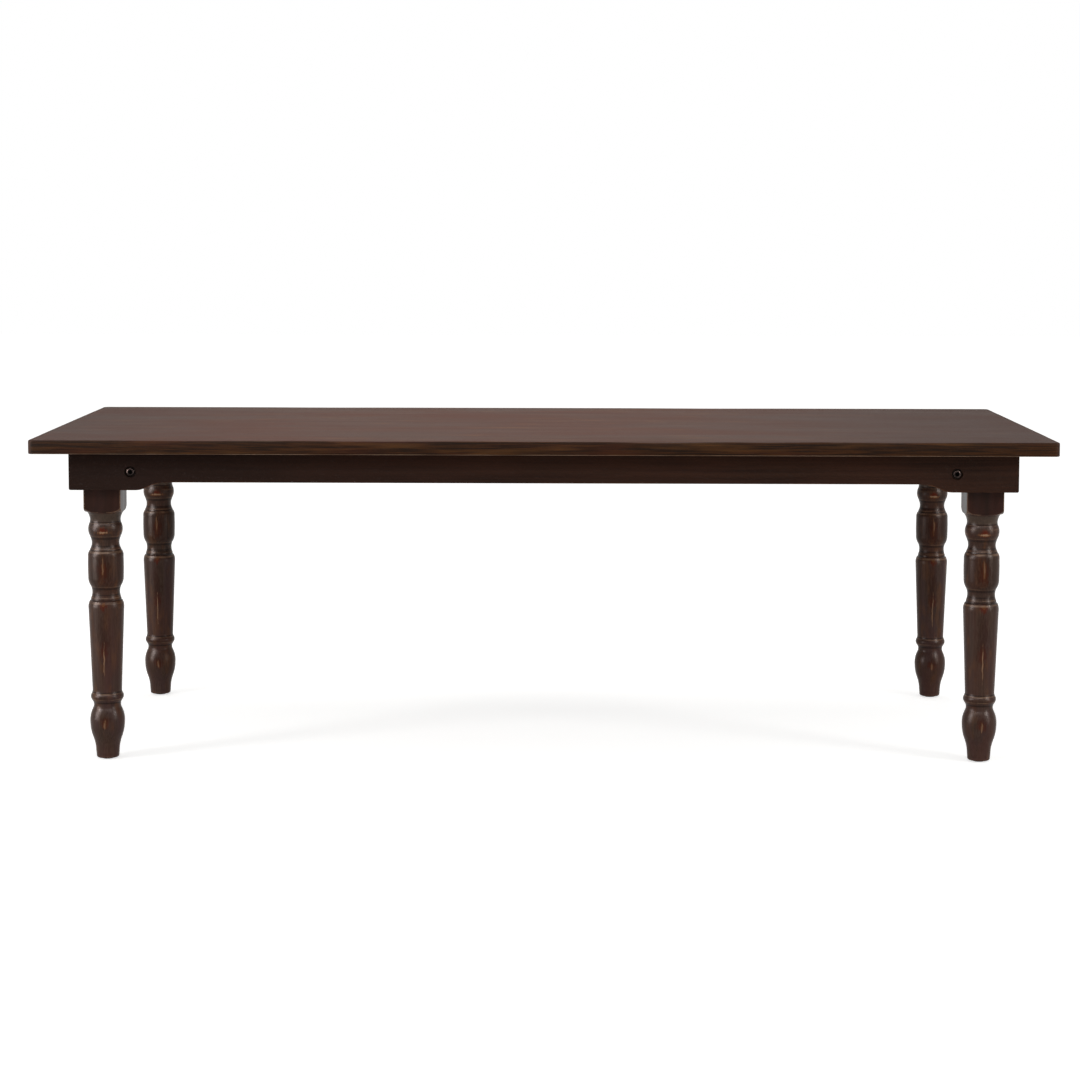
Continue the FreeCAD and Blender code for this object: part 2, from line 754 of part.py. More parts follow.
def makeRail(name, left):
    # Cross rail of a leg frame, about its pivot; its inboard side is at -X
    body = newBody(name)
    sketch = newSketch(body, "XZ_Plane")
    w = "railWidth / 2"
    h = "railHeight / 2"
    r = "railRounding"
    inset = f"railRounding * {quarterShare}"
    corners = [
        (f"-{w} + {r}", f"-{h}"), (f"{w} - {r}", f"-{h}"), (w, f"-{h} + {r}"), (w, f"{h} - {r}"),
        (f"{w} - {r}", h), (f"-{w} + {r}", h), (f"-{w}", f"{h} - {r}"), (f"-{w}", f"-{h} + {r}"),
    ]
    through = {
        1: (f"{w} - {inset}", f"-{h} + {inset}"), 3: (f"{w} - {inset}", f"{h} - {inset}"),
        5: (f"-{w} + {inset}", f"{h} - {inset}"), 7: (f"-{w} + {inset}", f"-{h} + {inset}"),
    }
    drawOutline(sketch, corners, through)
    bar = pad(body, sketch, "2 * railHalf")
    bar.SideType = "Symmetric"
    compute(bar)
    for y, way, sign in (("-railHalf", "+Y", -1), ("railHalf", "-Y", 1)):
        drill(body, "boltDiameter + 2 * looseFit", "boltBite + drillRoom", "0", y, "0", way)
        nutY = f"{sign} * (railHalf - nutInset)"
        nutDepth = "railHeight / 2 + nutLength / 2 + drillRoom"
        drill(body, "nutDiameter + 2 * drillFit", nutDepth, "0", nutY, f"-{h}", "+Z")
        for step in (-1, 1):
            lagY = f"{sign} * (legY + {step} * lagSpread)"
            lagHole = "lagDiameter + 2 * drillFit"
            drill(body, lagHole, "railWidth + overrun", f"-{w}", lagY, f"{step} * lagRise", "+X")
    socket = "rodDiameter + 2 * socketFit"
    drill(body, socket, "lockBite + drillRoom", f"-{w}", "0", "lockRise", "+X")
    drill(body, socket, f"{h} - {w} + lockBite + drillRoom", "-lockRise", "0", f"-{h}", "+Z")
    finish(body, name, "-pivotX" if left else "pivotX", "0", "pivotZ", halfTurn if left else None)


def lagPlaces(left):
    side = -1 if left else 1
    places = []
    for end in (-1, 1):
        for step in (-1, 1):
            x = f"{side} * (pivotX - railWidth / 2)"
            y = f"{end} * (legY + {step} * lagSpread)"
            places.append((x, y, f"pivotZ + {step} * lagRise", "-X" if left else "+X"))
    return places


def makePivotBolt(name, x, y, way):
    # Along its own z: the rail's end face is at zero, the head is outside
    body = newBody(name)
    sketch = newSketch(body, "XZ_Plane")
    headBase = "(boreFloor + flangeThickness + headPlay)"
    headTop = f"({headBase} + headThickness)"
    corners = [
        ("0", "-boltBite"),
        ("boltDiameter / 2 - boltTip", "-boltBite"),
        ("boltDiameter / 2", "-boltBite + boltTip"),
        ("boltDiameter / 2", headBase),
        ("headDiameter / 2", headBase),
        ("headDiameter / 2", f"{headTop} - headRounding"),
        ("headDiameter / 2 - headRounding", headTop),
        ("0", headTop),
    ]
    inset = f"headRounding * {quarterShare}"
    drawOutline(sketch, corners, {5: (f"headDiameter / 2 - {inset}", f"{headTop} - {inset}")})
    revolve(body, sketch)
    fields = {"Polygon": "6", "Circumradius": "socketFlats / sqrt(3)", "Height": "socketDepth + overrun"}
    primitive(body, "SubtractivePrism", fields, "0", "0", f"{headTop} - socketDepth")
    finish(body, name, x, y, "pivotZ", turns[way])


def makeSleeve(name, x, y, way):
    # Flanged steel sleeve pressed into the apron
    body = newBody(name)
    sketch = newSketch(body, "XZ_Plane")
    bore = "boltDiameter / 2 + runningFit"
    corners = [
        (bore, "legGap"),
        ("sleeveDiameter / 2", "legGap"),
        ("sleeveDiameter / 2", "boreFloor"),
        ("flangeDiameter / 2", "boreFloor"),
        ("flangeDiameter / 2", "boreFloor + flangeThickness"),
        (bore, "boreFloor + flangeThickness"),
    ]
    drawOutline(sketch, corners)
    revolve(body, sketch)
    finish(body, name, x, y, "pivotZ", turns[way])


def makeWasher(name, x, y, way):
    # Nylon washer between the rail's end and the apron
    body = newBody(name)
    sketch = newSketch(body, "XZ_Plane")
    bore = "boltDiameter / 2 + drillFit"
    drawOutline(sketch, rectangle(bore, "washerDiameter / 2", "0", "legGap - washerPlay"))
    revolve(body, sketch)
    finish(body, name, x, y, "pivotZ", turns[way])


def makeBarrelNut(name, x, y):
    # Cross nut that stands in the rail and holds the bolt's end
    body = newBody(name)
    fields = {"Radius": "nutDiameter / 2", "Height": "nutLength"}
    primitive(body, "AdditiveCylinder", fields, "0", "0", "-nutLength / 2")
    drill(body, "boltDiameter + 2 * drillFit", "nutDiameter", "0", "-nutDiameter / 2", "0", "+Y")
    finish(body, name, x, y, "pivotZ")


def makeLockPlate(name, left):
    # Barrel bolt body: plate on the batten, two guides, rod along its own x
    body = newBody(name)
    plate = {"Length": "lockPlateLength", "Width": "lockPlateWidth", "Height": "lockPlateThickness"}
    primitive(body, "AdditiveBox", plate, "-lockPlateLength", "-lockPlateWidth / 2", "guideRadius")
    web = {"Length": "lockPlateLength", "Width": "2 * guideRadius", "Height": "guideRadius"}
    primitive(body, "AdditiveBox", web, "-lockPlateLength", "-guideRadius", "0")
    barrel = {"Radius": "guideRadius", "Height": "lockPlateLength"}
    primitive(body, "AdditiveCylinder", barrel, "-lockPlateLength", "0", "0", "+X")
    gap = {
        "Length": "lockPlateLength - 2 * guideLength",
        "Width": "2 * guideRadius + 2 * overrun",
        "Height": "2 * guideRadius + overrun",
    }
    primitive(body, "SubtractiveBox", gap, "guideLength - lockPlateLength", "-guideRadius - overrun",
              "-guideRadius - overrun")
    bore = "rodDiameter + 2 * runningFit"
    drill(body, bore, "lockPlateLength + overrun", "-lockPlateLength", "0", "0", "+X")
    for dx, dy in fourCorners:
        screwX = f"-lockPlateLength / 2 + {dx} * lockScrewSpreadX"
        screwY = f"{dy} * lockScrewSpreadY"
        depth = "lockPlateThickness + overrun"
        drill(body, "lockScrewDiameter + looseFit", depth, screwX, screwY, "guideRadius", "+Z")
    x = "-lockPlateX" if left else "lockPlateX"
    finish(body, name, x, "0", "pivotZ + lockRise", halfTurn if left else None)


def lockScrewPlaces(left):
    side = -1 if left else 1
    places = []
    for dx, dy in fourCorners:
        x = f"{side} * (lockPlateX - lockPlateLength / 2 + {dx} * lockScrewSpreadX)"
        places.append((x, f"{dy} * lockScrewSpreadY", "pivotZ + lockRise + guideRadius", "+Z"))
    return places


def makeLockRod(name, left):
    # Sliding rod, with its tip at its own z of zero
    body = newBody(name)
    sketch = newSketch(body, "XZ_Plane")
    corners = [
        ("0", "-rodLength"),
        ("rodDiameter / 2 - rodTip", "-rodLength"),
        ("rodDiameter / 2", "-rodLength + rodTip"),
        ("rodDiameter / 2", "-rodTip"),
        ("rodDiameter / 2 - rodTip", "0"),
        ("0", "0"),
    ]
    drawOutline(sketch, corners)
    revolve(body, sketch)
    way = "-X" if left else "+X"
    # The knob's stem goes in from below, which is along the rod's own x
    start, inward = ("-rodDiameter / 2", "+X") if left else ("rodDiameter / 2", "-X")
    depth = "rodDiameter / 2 + knobStemRise + looseFit"
    drill(body, "knobStem + 2 * drillFit", depth, start, "0", "-knobInset", inward)
    finish(body, name, "-lockTipX" if left else "lockTipX", "0", "pivotZ + lockRise", turns[way])


def makeLockKnob(name, left):
    body = newBody(name)
    sketch = newSketch(body, "XZ_Plane")
    top = "(-knobTop)"
    height = "(knobBottom - knobTop)"
    corners = [("0", "knobStemRise"), ("0", f"{top} - {height}")]
    for across, down in reversed(knobShares):
        corners.append((f"knobDiameter / 2 * {across}", f"{top} - {height} * {down}"))
    corners.append(("knobStem / 2", top))
    corners.append(("knobStem / 2", "knobStemRise"))
    drawOutline(sketch, corners)
    revolve(body, sketch)
    x = "lockTipX - knobInset"
    finish(body, name, f"-({x})" if left else x, "0", "pivotZ + lockRise")


def makeTop():
    for number in range(1, plankCount + 1):
        makePlank(number)


def makeAprons():
    makeLongApron("front_apron", False)
    makeLongApron("back_apron", True)
    makeEndApron("left_end_apron", True)
    makeEndApron("right_end_apron", False)
    dowel = newBody("dowel_blank")
    fields = {"Radius": "dowelDiameter / 2", "Height": "dowelLength"}
    primitive(dowel, "AdditiveCylinder", fields, "0", "0", "-dowelBite")
    places = []
    for x in ("-dowelX", "dowelX"):
        for y, way in (("-apronInner", "+Y"), ("apronInner", "-Y")):
            for drop in dowelDrops:
                places.append((x, y, f"underside - {drop}", way))
    makeGroup("corner_dowels", dowel, places)


def makeUnderframe():
    makeLongCleats("front_cleats", False)
    makeLongCleats("back_cleats", True)
    makeEndCleat("left_end_cleat", True)
    makeEndCleat("right_end_cleat", False)
    makeBatten("left_lock_batten", "lockBattenX", True)
    makeBatten("centre_batten", "0", False)
    makeBatten("right_lock_batten", "lockBattenX", True)
    screw = makeScrewBlank("screw_blank", "screwDiameter", "screwLength", "screwTip",
                           "screwHeadDiameter", "screwHeadHeight")
    places = []
    for x in battenPlaces:
        for y in plankMiddles():
            places.append((x, y, "underside - battenThickness", "+Z"))
    makeGroup("batten_screws", screw, places)
    places = []
    for x in cleatPlaces():
        for side in (-1, 1):
            places.append((x, f"{side} * (apronInner - cleatSize / 2)", "underside - cleatSize", "+Z"))
    for x in ("-endCleatX", "endCleatX"):
        for y in plankMiddles()[1::plankCount - 3]:
            places.append((x, y, "underside - cleatSize", "+Z"))
    makeGroup("cleat_screws", screw, places)


def makeLegFrames():
    lag = makeLagBlank("lag_blank")
    for end in ("left", "right"):
        left = end == "left"
        x = "-legX" if left else "legX"
        pivot = "-pivotX" if left else "pivotX"
        makeRail(end + "_rail", left)
        makeGroup(end + "_rail_screws", lag, lagPlaces(left))
        for side in ("front", "back"):
            name = f"{side}_{end}"
            sign = "-" if side == "front" else ""
            outward = -1 if side == "front" else 1
            ownOutward = -outward if left else outward
            makeLeg(name + "_leg", ownOutward, x, sign + "legY", halfTurn if left else None)
            makeGlide(name + "_glide", x, sign + "legY")
            way = "-Y" if side == "front" else "+Y"
            makePivotBolt(name + "_pivot_bolt", pivot, sign + "railHalf", way)
            makeSleeve(name + "_pivot_sleeve", pivot, sign + "railHalf", way)
            makeWasher(name + "_pivot_washer", pivot, sign + "railHalf", way)
            makeBarrelNut(name + "_barrel_nut", pivot, f"{sign}(railHalf - nutInset)")


def makeLocks():
    screw = makeScrewBlank("lock_screw_blank", "lockScrewDiameter", "lockScrewLength", "lockScrewTip",
                           "lockScrewHeadDiameter", "lockScrewHeadHeight")
    for end in ("left", "right"):
        left = end == "left"
        makeLockPlate(end + "_lock_plate", left)
        makeGroup(end + "_lock_screws", screw, lockScrewPlaces(left))
        makeLockRod(end + "_lock_rod", left)
        makeLockKnob(end + "_lock_knob", left)


def checkAndWrite():
    for thing in doc.Objects:
        if "Invalid" in thing.State or "Error" in thing.State:
            raise RuntimeError(f"{thing.Name} didn't compute: {thing.State}")
    os.makedirs("parts", exist_ok=True)
    for node in nodes:
        if node.Shape.isNull() or not node.Shape.isValid():
            raise RuntimeError(f"{node.Label} has no valid shape")
        node.Shape.exportStep(os.path.join("parts", node.Label + ".step"))
    print(f"{len(nodes)} nodes written")
    print("lock travel", round(value("lockTravel"), 3), "pivot", round(value("pivotX"), 3),
          round(value("pivotZ"), 3))


fillSheet()
makeTop()
makeAprons()
makeUnderframe()
makeLegFrames()
makeLocks()
checkAndWrite()
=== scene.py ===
import math

import bpy
from mathutils import Matrix, Vector


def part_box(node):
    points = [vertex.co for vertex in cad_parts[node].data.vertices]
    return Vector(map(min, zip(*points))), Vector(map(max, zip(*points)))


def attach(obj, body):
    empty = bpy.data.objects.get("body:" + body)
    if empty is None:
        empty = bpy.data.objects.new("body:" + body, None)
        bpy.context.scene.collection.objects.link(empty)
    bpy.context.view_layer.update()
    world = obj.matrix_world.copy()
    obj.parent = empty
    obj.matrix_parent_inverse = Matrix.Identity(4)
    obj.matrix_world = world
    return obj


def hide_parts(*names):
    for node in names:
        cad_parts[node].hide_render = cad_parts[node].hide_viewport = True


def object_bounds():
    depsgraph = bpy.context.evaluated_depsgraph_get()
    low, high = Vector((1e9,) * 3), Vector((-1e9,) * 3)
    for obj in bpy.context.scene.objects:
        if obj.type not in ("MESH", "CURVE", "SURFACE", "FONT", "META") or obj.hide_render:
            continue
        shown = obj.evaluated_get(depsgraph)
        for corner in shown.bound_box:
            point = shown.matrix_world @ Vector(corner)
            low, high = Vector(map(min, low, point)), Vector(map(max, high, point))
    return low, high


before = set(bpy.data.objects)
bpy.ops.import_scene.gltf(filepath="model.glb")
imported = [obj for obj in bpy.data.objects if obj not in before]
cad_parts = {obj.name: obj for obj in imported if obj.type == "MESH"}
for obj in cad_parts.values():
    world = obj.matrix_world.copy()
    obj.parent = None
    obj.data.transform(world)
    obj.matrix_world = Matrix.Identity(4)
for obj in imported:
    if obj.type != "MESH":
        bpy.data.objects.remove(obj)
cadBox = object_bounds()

# Farmhouse table with folding leg frames. X runs along the table, Y from front
# to back, Z up, in metres; the front is the side at -Y.
print("Frame loaded with", len(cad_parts), "parts")


def paint(red, green, blue):
    # A colour as seen on a screen, turned into the shader's own numbers
    def opened(level):
        part = level / 255
        return part / 12.92 if part < 0.04045 else ((part + 0.055) / 1.055) ** 2.4
    return (opened(red), opened(green), opened(blue), 1)


# Shader work: a Wire is one value on its way through the nodes
class Wire:
    def __init__(self, recipe, socket):
        self.recipe = recipe
        self.socket = socket

    def work(self, operation, first, second=0.0):
        return self.recipe.node("Math", {"operation": operation}, {0: first, 1: second})

    def __add__(self, other):
        return self.work("ADD", self, other)

    def __radd__(self, other):
        return self.work("ADD", other, self)

    def __sub__(self, other):
        return self.work("SUBTRACT", self, other)

    def __rsub__(self, other):
        return self.work("SUBTRACT", other, self)

    def __mul__(self, other):
        return self.work("MULTIPLY", self, other)

    def __rmul__(self, other):
        return self.work("MULTIPLY", other, self)

    def __truediv__(self, other):
        return self.work("DIVIDE", self, other)

    def __pow__(self, other):
        return self.work("POWER", self, other)

    def __abs__(self):
        return self.work("ABSOLUTE", self)

    def __gt__(self, other):
        return self.work("GREATER_THAN", self, other)

    def __lt__(self, other):
        return self.work("LESS_THAN", self, other)

    def least(self, other):
        return self.work("MINIMUM", self, other)

    def most(self, other):
        return self.work("MAXIMUM", self, other)

    def within(self, low, high):
        # A smooth step from 0 at low to 1 at high
        ends = {"Value": self, "From Min": low, "From Max": high}
        return self.recipe.node("MapRange", {"interpolation_type": "SMOOTHSTEP"}, ends)

    def line(self, middle, reach):
        # 1 on one value, fading to 0 at reach on both sides
        return 1 - abs(self - middle).within(0.0, reach)


class Recipe:
    def __init__(self, tree):
        self.tree = tree

    def node(self, kind, settings=None, links=None, output=0):
        made = self.tree.nodes.new("ShaderNode" + kind)
        for name, setting in (settings or {}).items():
            if name == "stops":
                self.setStops(made.color_ramp, setting)
            else:
                setattr(made, name, setting)
        for name, source in (links or {}).items():
            self.join(source, made.inputs[name])
        return Wire(self, made.outputs[output])

    def join(self, source, socket):
        if isinstance(source, Wire):
            self.tree.links.new(source.socket, socket)
        else:
            socket.default_value = source

    def setStops(self, ramp, stops):
        while len(ramp.elements) < len(stops):
            ramp.elements.new(0.5)
        for element, (place, level) in zip(ramp.elements, stops):
            element.position = place
            element.color = (level, level, level, 1)

    def mix(self, amount, first, second):
        # A colour is a wire, or three levels of 0 to 255 as seen on a screen; the
        # Mix node has its colours at 6 and 7, and gives their mixture at 2
        links = {0: amount}
        for socket, colour in ((6, first), (7, second)):
            links[socket] = colour if isinstance(colour, Wire) else paint(*colour)
        return self.node("Mix", {"data_type": "RGBA"}, links, 2)

    def vector(self, operation, first, second=(0, 0, 0), output=0):
        return self.node("VectorMath", {"operation": operation}, {0: first, 1: second}, output)

    def split(self, vector):
        made = self.node("SeparateXYZ", {}, {0: vector})
        return [Wire(self, socket) for socket in made.socket.node.outputs]

    def spots(self, place, size, output=0):
        # Noise with lumps of about this size, in metres, along x, y and z
        stretched = self.vector("MULTIPLY", place, tuple(1 / side for side in size))
        links = {"Vector": stretched, "Scale": 1.0, "Detail": 2.0, "Roughness": 0.5}
        return self.node("TexNoise", {}, links, output)


class Finish(Recipe):
    # A material; what is the same all over goes straight on the shader
    def __init__(self, name, constants):
        self.material = bpy.data.materials.new(name)
        self.material.use_nodes = True
        super().__init__(self.material.node_tree)
        self.shader = self.tree.nodes["Principled BSDF"]
        for socket, number in constants.items():
            self.shader.inputs[socket].default_value = number
        self.place = self.node("TexCoord", {}, {}, "Object")

    def patches(self, size, start, full):
        # Soft patches of about this size: 0 up to start on the noise, 1 from full
        return self.spots(self.place, size).within(start, full)

    def between(self, ends, first, second):
        # From the lower end to the upper one, half by each mask
        low, high = ends
        return low + (high - low) * (first * 0.5 + second * 0.5)

    def lay(self, colour, roughness, height, depth):
        # Joins the surface: height is 0 to 1, depth its relief in metres
        self.join(colour, self.shader.inputs["Base Color"])
        self.join(roughness, self.shader.inputs["Roughness"])
        relief = {"Strength": 1.0, "Distance": depth, "Height": height}
        self.join(self.node("Bump", {}, relief), self.shader.inputs["Normal"])
        return self.material


def eachPart(*endings):
    # Names of the CAD parts that end in one of these words
    return [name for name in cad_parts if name.endswith(endings)]


def coat(names, material):
    for name in names:
        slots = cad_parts[name].data.materials
        slots.clear()
        slots.append(material)


# Wood grows round a pith: the grain runs along the board's own x
grainTurns = {
    "x": (0.0, 0.0, 0.0),
    "y": (0.0, 0.0, math.radians(90)),
    "z": (0.0, math.radians(-90), 0.0),
}

grainLook = {
    "waver": 0.016,         # how far the rings wander
    "waverSize": (0.9, 0.16, 0.16),
    "ring": 0.0062,         # one year's growth
    "ringDetail": 1.5,
    "ringRoughness": 0.6,
    "fibre": (0.16, 0.0021, 0.0021),
    "figure": (0.42, 0.017, 0.017),
    "pore": (0.014, 0.00055, 0.00055),
    # Where each begins and where it is full, on its noise
    "ringSpan": (0.3, 0.7),
    "fibreSpan": (0.3, 0.7),
    "figureSpan": (0.32, 0.68),
    "poreSpan": (0.62, 0.72),
}


def growWood(finish, axis, pith):
    # Gives rings, fibres, figure and pores, each from 0 to 1
    look = grainLook
    links = {"Vector": finish.place, "Location": pith, "Rotation": grainTurns[axis]}
    board = finish.node("Mapping", {"vector_type": "TEXTURE"}, links)
    drift = finish.spots(board, look["waverSize"], "Color")
    drift = finish.vector("MULTIPLY", drift, (0, look["waver"], look["waver"]))
    bent = finish.vector("ADD", board, drift)
    across = finish.vector("MULTIPLY", bent, (0, 1, 1))
    radius = finish.vector("LENGTH", across, output="Value")
    year = {"W": radius / look["ring"], "Scale": 1.0}
    year.update({"Detail": look["ringDetail"], "Roughness": look["ringRoughness"]})
    rings = finish.node("TexNoise", {"noise_dimensions": "1D"}, year).within(*look["ringSpan"])
    fibres = finish.spots(bent, look["fibre"]).within(*look["fibreSpan"])
    figure = finish.spots(bent, look["figure"]).within(*look["figureSpan"])
    pores = finish.spots(bent, look["pore"]).within(*look["poreSpan"])
    return rings, fibres, figure, pores


def grainHeight(raised, rings, fibres, figure, pores):
    # How high the wood stands: the pores are sunk
    up = fibres * raised["fibres"] + rings * raised["rings"] + figure * raised["figure"]
    return up - pores * raised["pores"]


# Top. Here and in the looks below, a patch has its size along x, y and z, and where
# it begins and is full on its noise; the shares say how much of a colour goes on

topLook = {
    "deep": (56, 34, 24),
    "body": (78, 50, 37),
    "pale": (100, 69, 54),
    "red": (92, 48, 34),
    "grey": (80, 66, 60),
    "gold": (120, 78, 40),
    "bare": (150, 124, 104),
    "edge": (25, 11, 3),
    "amber": (72, 40, 14),
    "rust": (70, 32, 17),
    "dusk": (46, 31, 25),
    "cloud": ((0.5, 0.22, 0.22), 0.3, 0.7),
    "haze": ((0.34, 0.13, 0.13), 0.4, 0.75),
    "glow": ((0.12, 0.06, 0.05), 0.56, 0.76),
    "edgePatch": ((0.2, 0.2, 0.014), 0.5, 0.74),
    "edgeBlush": ((0.26, 0.26, 0.03), 0.46, 0.7),
    "edgeStreak": ((0.09, 0.09, 0.0026), 0.36, 0.66),
    "worn": ((0.12, 0.12, 0.02), 0.34, 0.62),
    "wornTop": ((0.21, 0.21, 0.02), 0.5, 0.68),
    "shares": {
        "rings": 0.5, "figure": 0.6, "lift": -0.18, "pale": 0.4, "red": 0.35, "grey": 0.3,
        "gold": 0.3, "dusk": 0.6, "streak": 0.55, "edgeFibres": 0.1, "blush": 0.45,
        "edgePatch": 0.26, "lowWorn": 0.3, "lowAlways": 0.6, "topWorn": 0.8, "pores": 0.4,
    },
    "faded": (-0.16, 0.3, 1.35),    # painted light and shade: paler about here, darker from this far to that far
    "sideEdge": 0.0016,             # the edge's stain begins this far in
    "arris": 0.003,                 # how far the rubbed arrises reach
    "lowArrisIn": 0.0032,
    "rubSpan": (0.1, 0.9),
    "gloss": 0.045,
    "roughSpan": (0.54, 0.64),
    "relief": 0.00016,
    "raised": {"rings": 0.3, "fibres": 0.35, "figure": 0.35, "pores": 0.8},
    # The pith, so that no two planks are alike: by the plank's number along the
    # table, this far under it, and a step to one side or the other
    "pithAlong": 0.31,
    "pithDrop": 0.11,
    "pithStep": 0.043,
}


def topWood(name):
    look, share = topLook, topLook["shares"]
    low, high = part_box(name)
    number = int(name.rsplit("_", 1)[1])
    finish = Finish("satin_" + name, {"Specular IOR Level": look["gloss"]})
    sideways = (low.y + high.y) / 2 + (number % 3 - 1) * look["pithStep"]
    pith = (look["pithAlong"] * number, sideways, low.z - look["pithDrop"])
    rings, fibres, figure, pores = growWood(finish, "x", pith)
    x, y, z = finish.split(finish.place)
    cloud = finish.patches(*look["cloud"])
    haze = finish.patches(*look["haze"])
    glow = finish.patches(*look["glow"])
    grain = rings * share["rings"] + figure * share["figure"] + share["lift"]
    base = finish.mix(grain, look["deep"], look["body"])
    base = finish.mix(fibres * share["pale"], base, look["pale"])
    base = finish.mix(cloud * share["red"], base, look["red"])
    base = finish.mix(haze * share["grey"], base, look["grey"])
    base = finish.mix(glow * figure * share["gold"], base, look["gold"])
    # Painted light and shade along the table: paler about the middle, darker towards both ends, most at
    # the right
    mostLit, start, end = look["faded"]
    base = finish.mix(abs(x - mostLit).within(start, end) * share["dusk"], base, look["dusk"])
    half = cadBox[1]
    onSide = (abs(y) > half.y - look["sideEdge"]).most(abs(x) > half.x - look["sideEdge"])
    base = finish.mix(onSide, base, edgeStain(finish, fibres))
    # Stain rubbed off along the arrises
    fromSide = (half.y - abs(y)).least(half.x - abs(x))
    lowArris = fromSide.line(0, look["lowArrisIn"]) * z.line(low.z, look["arris"])
    topArris = fromSide.line(0, look["arris"]) * z.line(high.z, look["arris"])
    rubLow = lowArris * (finish.patches(*look["worn"]) * share["lowWorn"] + share["lowAlways"])
    rubTop = topArris * finish.patches(*look["wornTop"]) * share["topWorn"]
    base = finish.mix(rubLow.most(rubTop).within(*look["rubSpan"]), base, look["bare"])
    base = finish.mix(pores * share["pores"], base, look["deep"])
    rough = finish.between(look["roughSpan"], fibres, cloud)
    height = grainHeight(look["raised"], rings, fibres, figure, pores)
    return finish.lay(base, rough, height, look["relief"])


def edgeStain(finish, fibres):
    # The edge all round the top is stained darker, with amber where it is rubbed
    look, share = topLook, topLook["shares"]
    streak = finish.patches(*look["edgeStreak"])
    blush = finish.patches(*look["edgeBlush"])
    patch = finish.patches(*look["edgePatch"])
    rubbed = streak * share["streak"] + fibres * share["edgeFibres"]
    edge = finish.mix(rubbed, look["edge"], look["amber"])
    edge = finish.mix(blush * share["blush"], edge, look["rust"])
    return finish.mix(patch * share["edgePatch"], edge, look["gold"])


# Aprons

apronLook = {
    "deep": (26, 14, 10),
    "body": (49, 31, 22),
    "red": (60, 34, 23),
    "line": (98, 62, 40),
    "cloud": ((0.35, 0.35, 0.08), 0.35, 0.65),
    "worn": ((0.09, 0.09, 0.03), 0.36, 0.66),
    "shares": {
        "rings": 0.35, "figure": 0.4, "lift": 0.2, "redFibres": 0.25, "redCloud": 0.4,
        "dark": 0.75, "worn": 0.8, "pores": 0.5,
    },
    "darkEnd": (-0.3, 1.1),     # painted shade, darker from here to here, towards the left
    "gloss": 0.035,
    "roughSpan": (0.42, 0.56),
    "relief": 0.0002,
    "raised": {"rings": 0.3, "fibres": 0.4, "figure": 0.3, "pores": 0.8},
    "arris": 0.0032,            # how far up and in the rubbed lower arris reaches
    "arrisIn": 0.0048,
    "haunch": 0.158,            # lengths of the deep end and of the curve up from it
    "ogee": 0.087,
    "ogeeStops": [(0, 0), (0.18, 0.12), (0.33, 0.42), (0.54, 0.78), (0.76, 0.95), (1, 1)],
    "middleRise": 0.019,
    "pith": {"x": (0.2, 0.06, -0.05), "y": (0.06, 0.2, -0.05)},
}


def apronWood(name, axis):
    look, share = apronLook, apronLook["shares"]
    low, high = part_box(name)
    finish = Finish("satin_" + name, {"Specular IOR Level": look["gloss"]})
    pith = (low + high) / 2 + Vector(look["pith"][axis])
    rings, fibres, figure, pores = growWood(finish, axis, pith)
    x, y, z = finish.split(finish.place)
    cloud = finish.patches(*look["cloud"])
    grain = rings * share["rings"] + figure * share["figure"] + share["lift"]
    base = finish.mix(grain, look["deep"], look["body"])
    base = finish.mix(fibres * share["redFibres"] + cloud * share["redCloud"], base, look["red"])
    # Painted shade: darker towards the left end
    base = finish.mix((0 - x).within(*look["darkEnd"]) * share["dark"], base, look["deep"])
    if axis == "x":
        # The lower edge climbs the ogee from the haunch to the middle
        along = (high.x - look["haunch"] - abs(x)) / look["ogee"]
        climb = finish.node("ValToRGB", {"stops": look["ogeeStops"]}, {0: along})
        foot = climb * look["middleRise"] + low.z
        fromFace = max(-low.y, high.y) - abs(y)
    else:
        foot = low.z
        fromFace = max(-low.x, high.x) - abs(x)
    lowEdge = (z - foot).line(0, look["arris"]) * fromFace.line(0, look["arrisIn"])
    worn = finish.patches(*look["worn"])
    base = finish.mix(lowEdge * worn * share["worn"], base, look["line"])
    base = finish.mix(pores * share["pores"], base, look["deep"])
    rough = finish.between(look["roughSpan"], fibres, cloud)
    height = grainHeight(look["raised"], rings, fibres, figure, pores)
    return finish.lay(base, rough, height, look["relief"])


# Turned legs

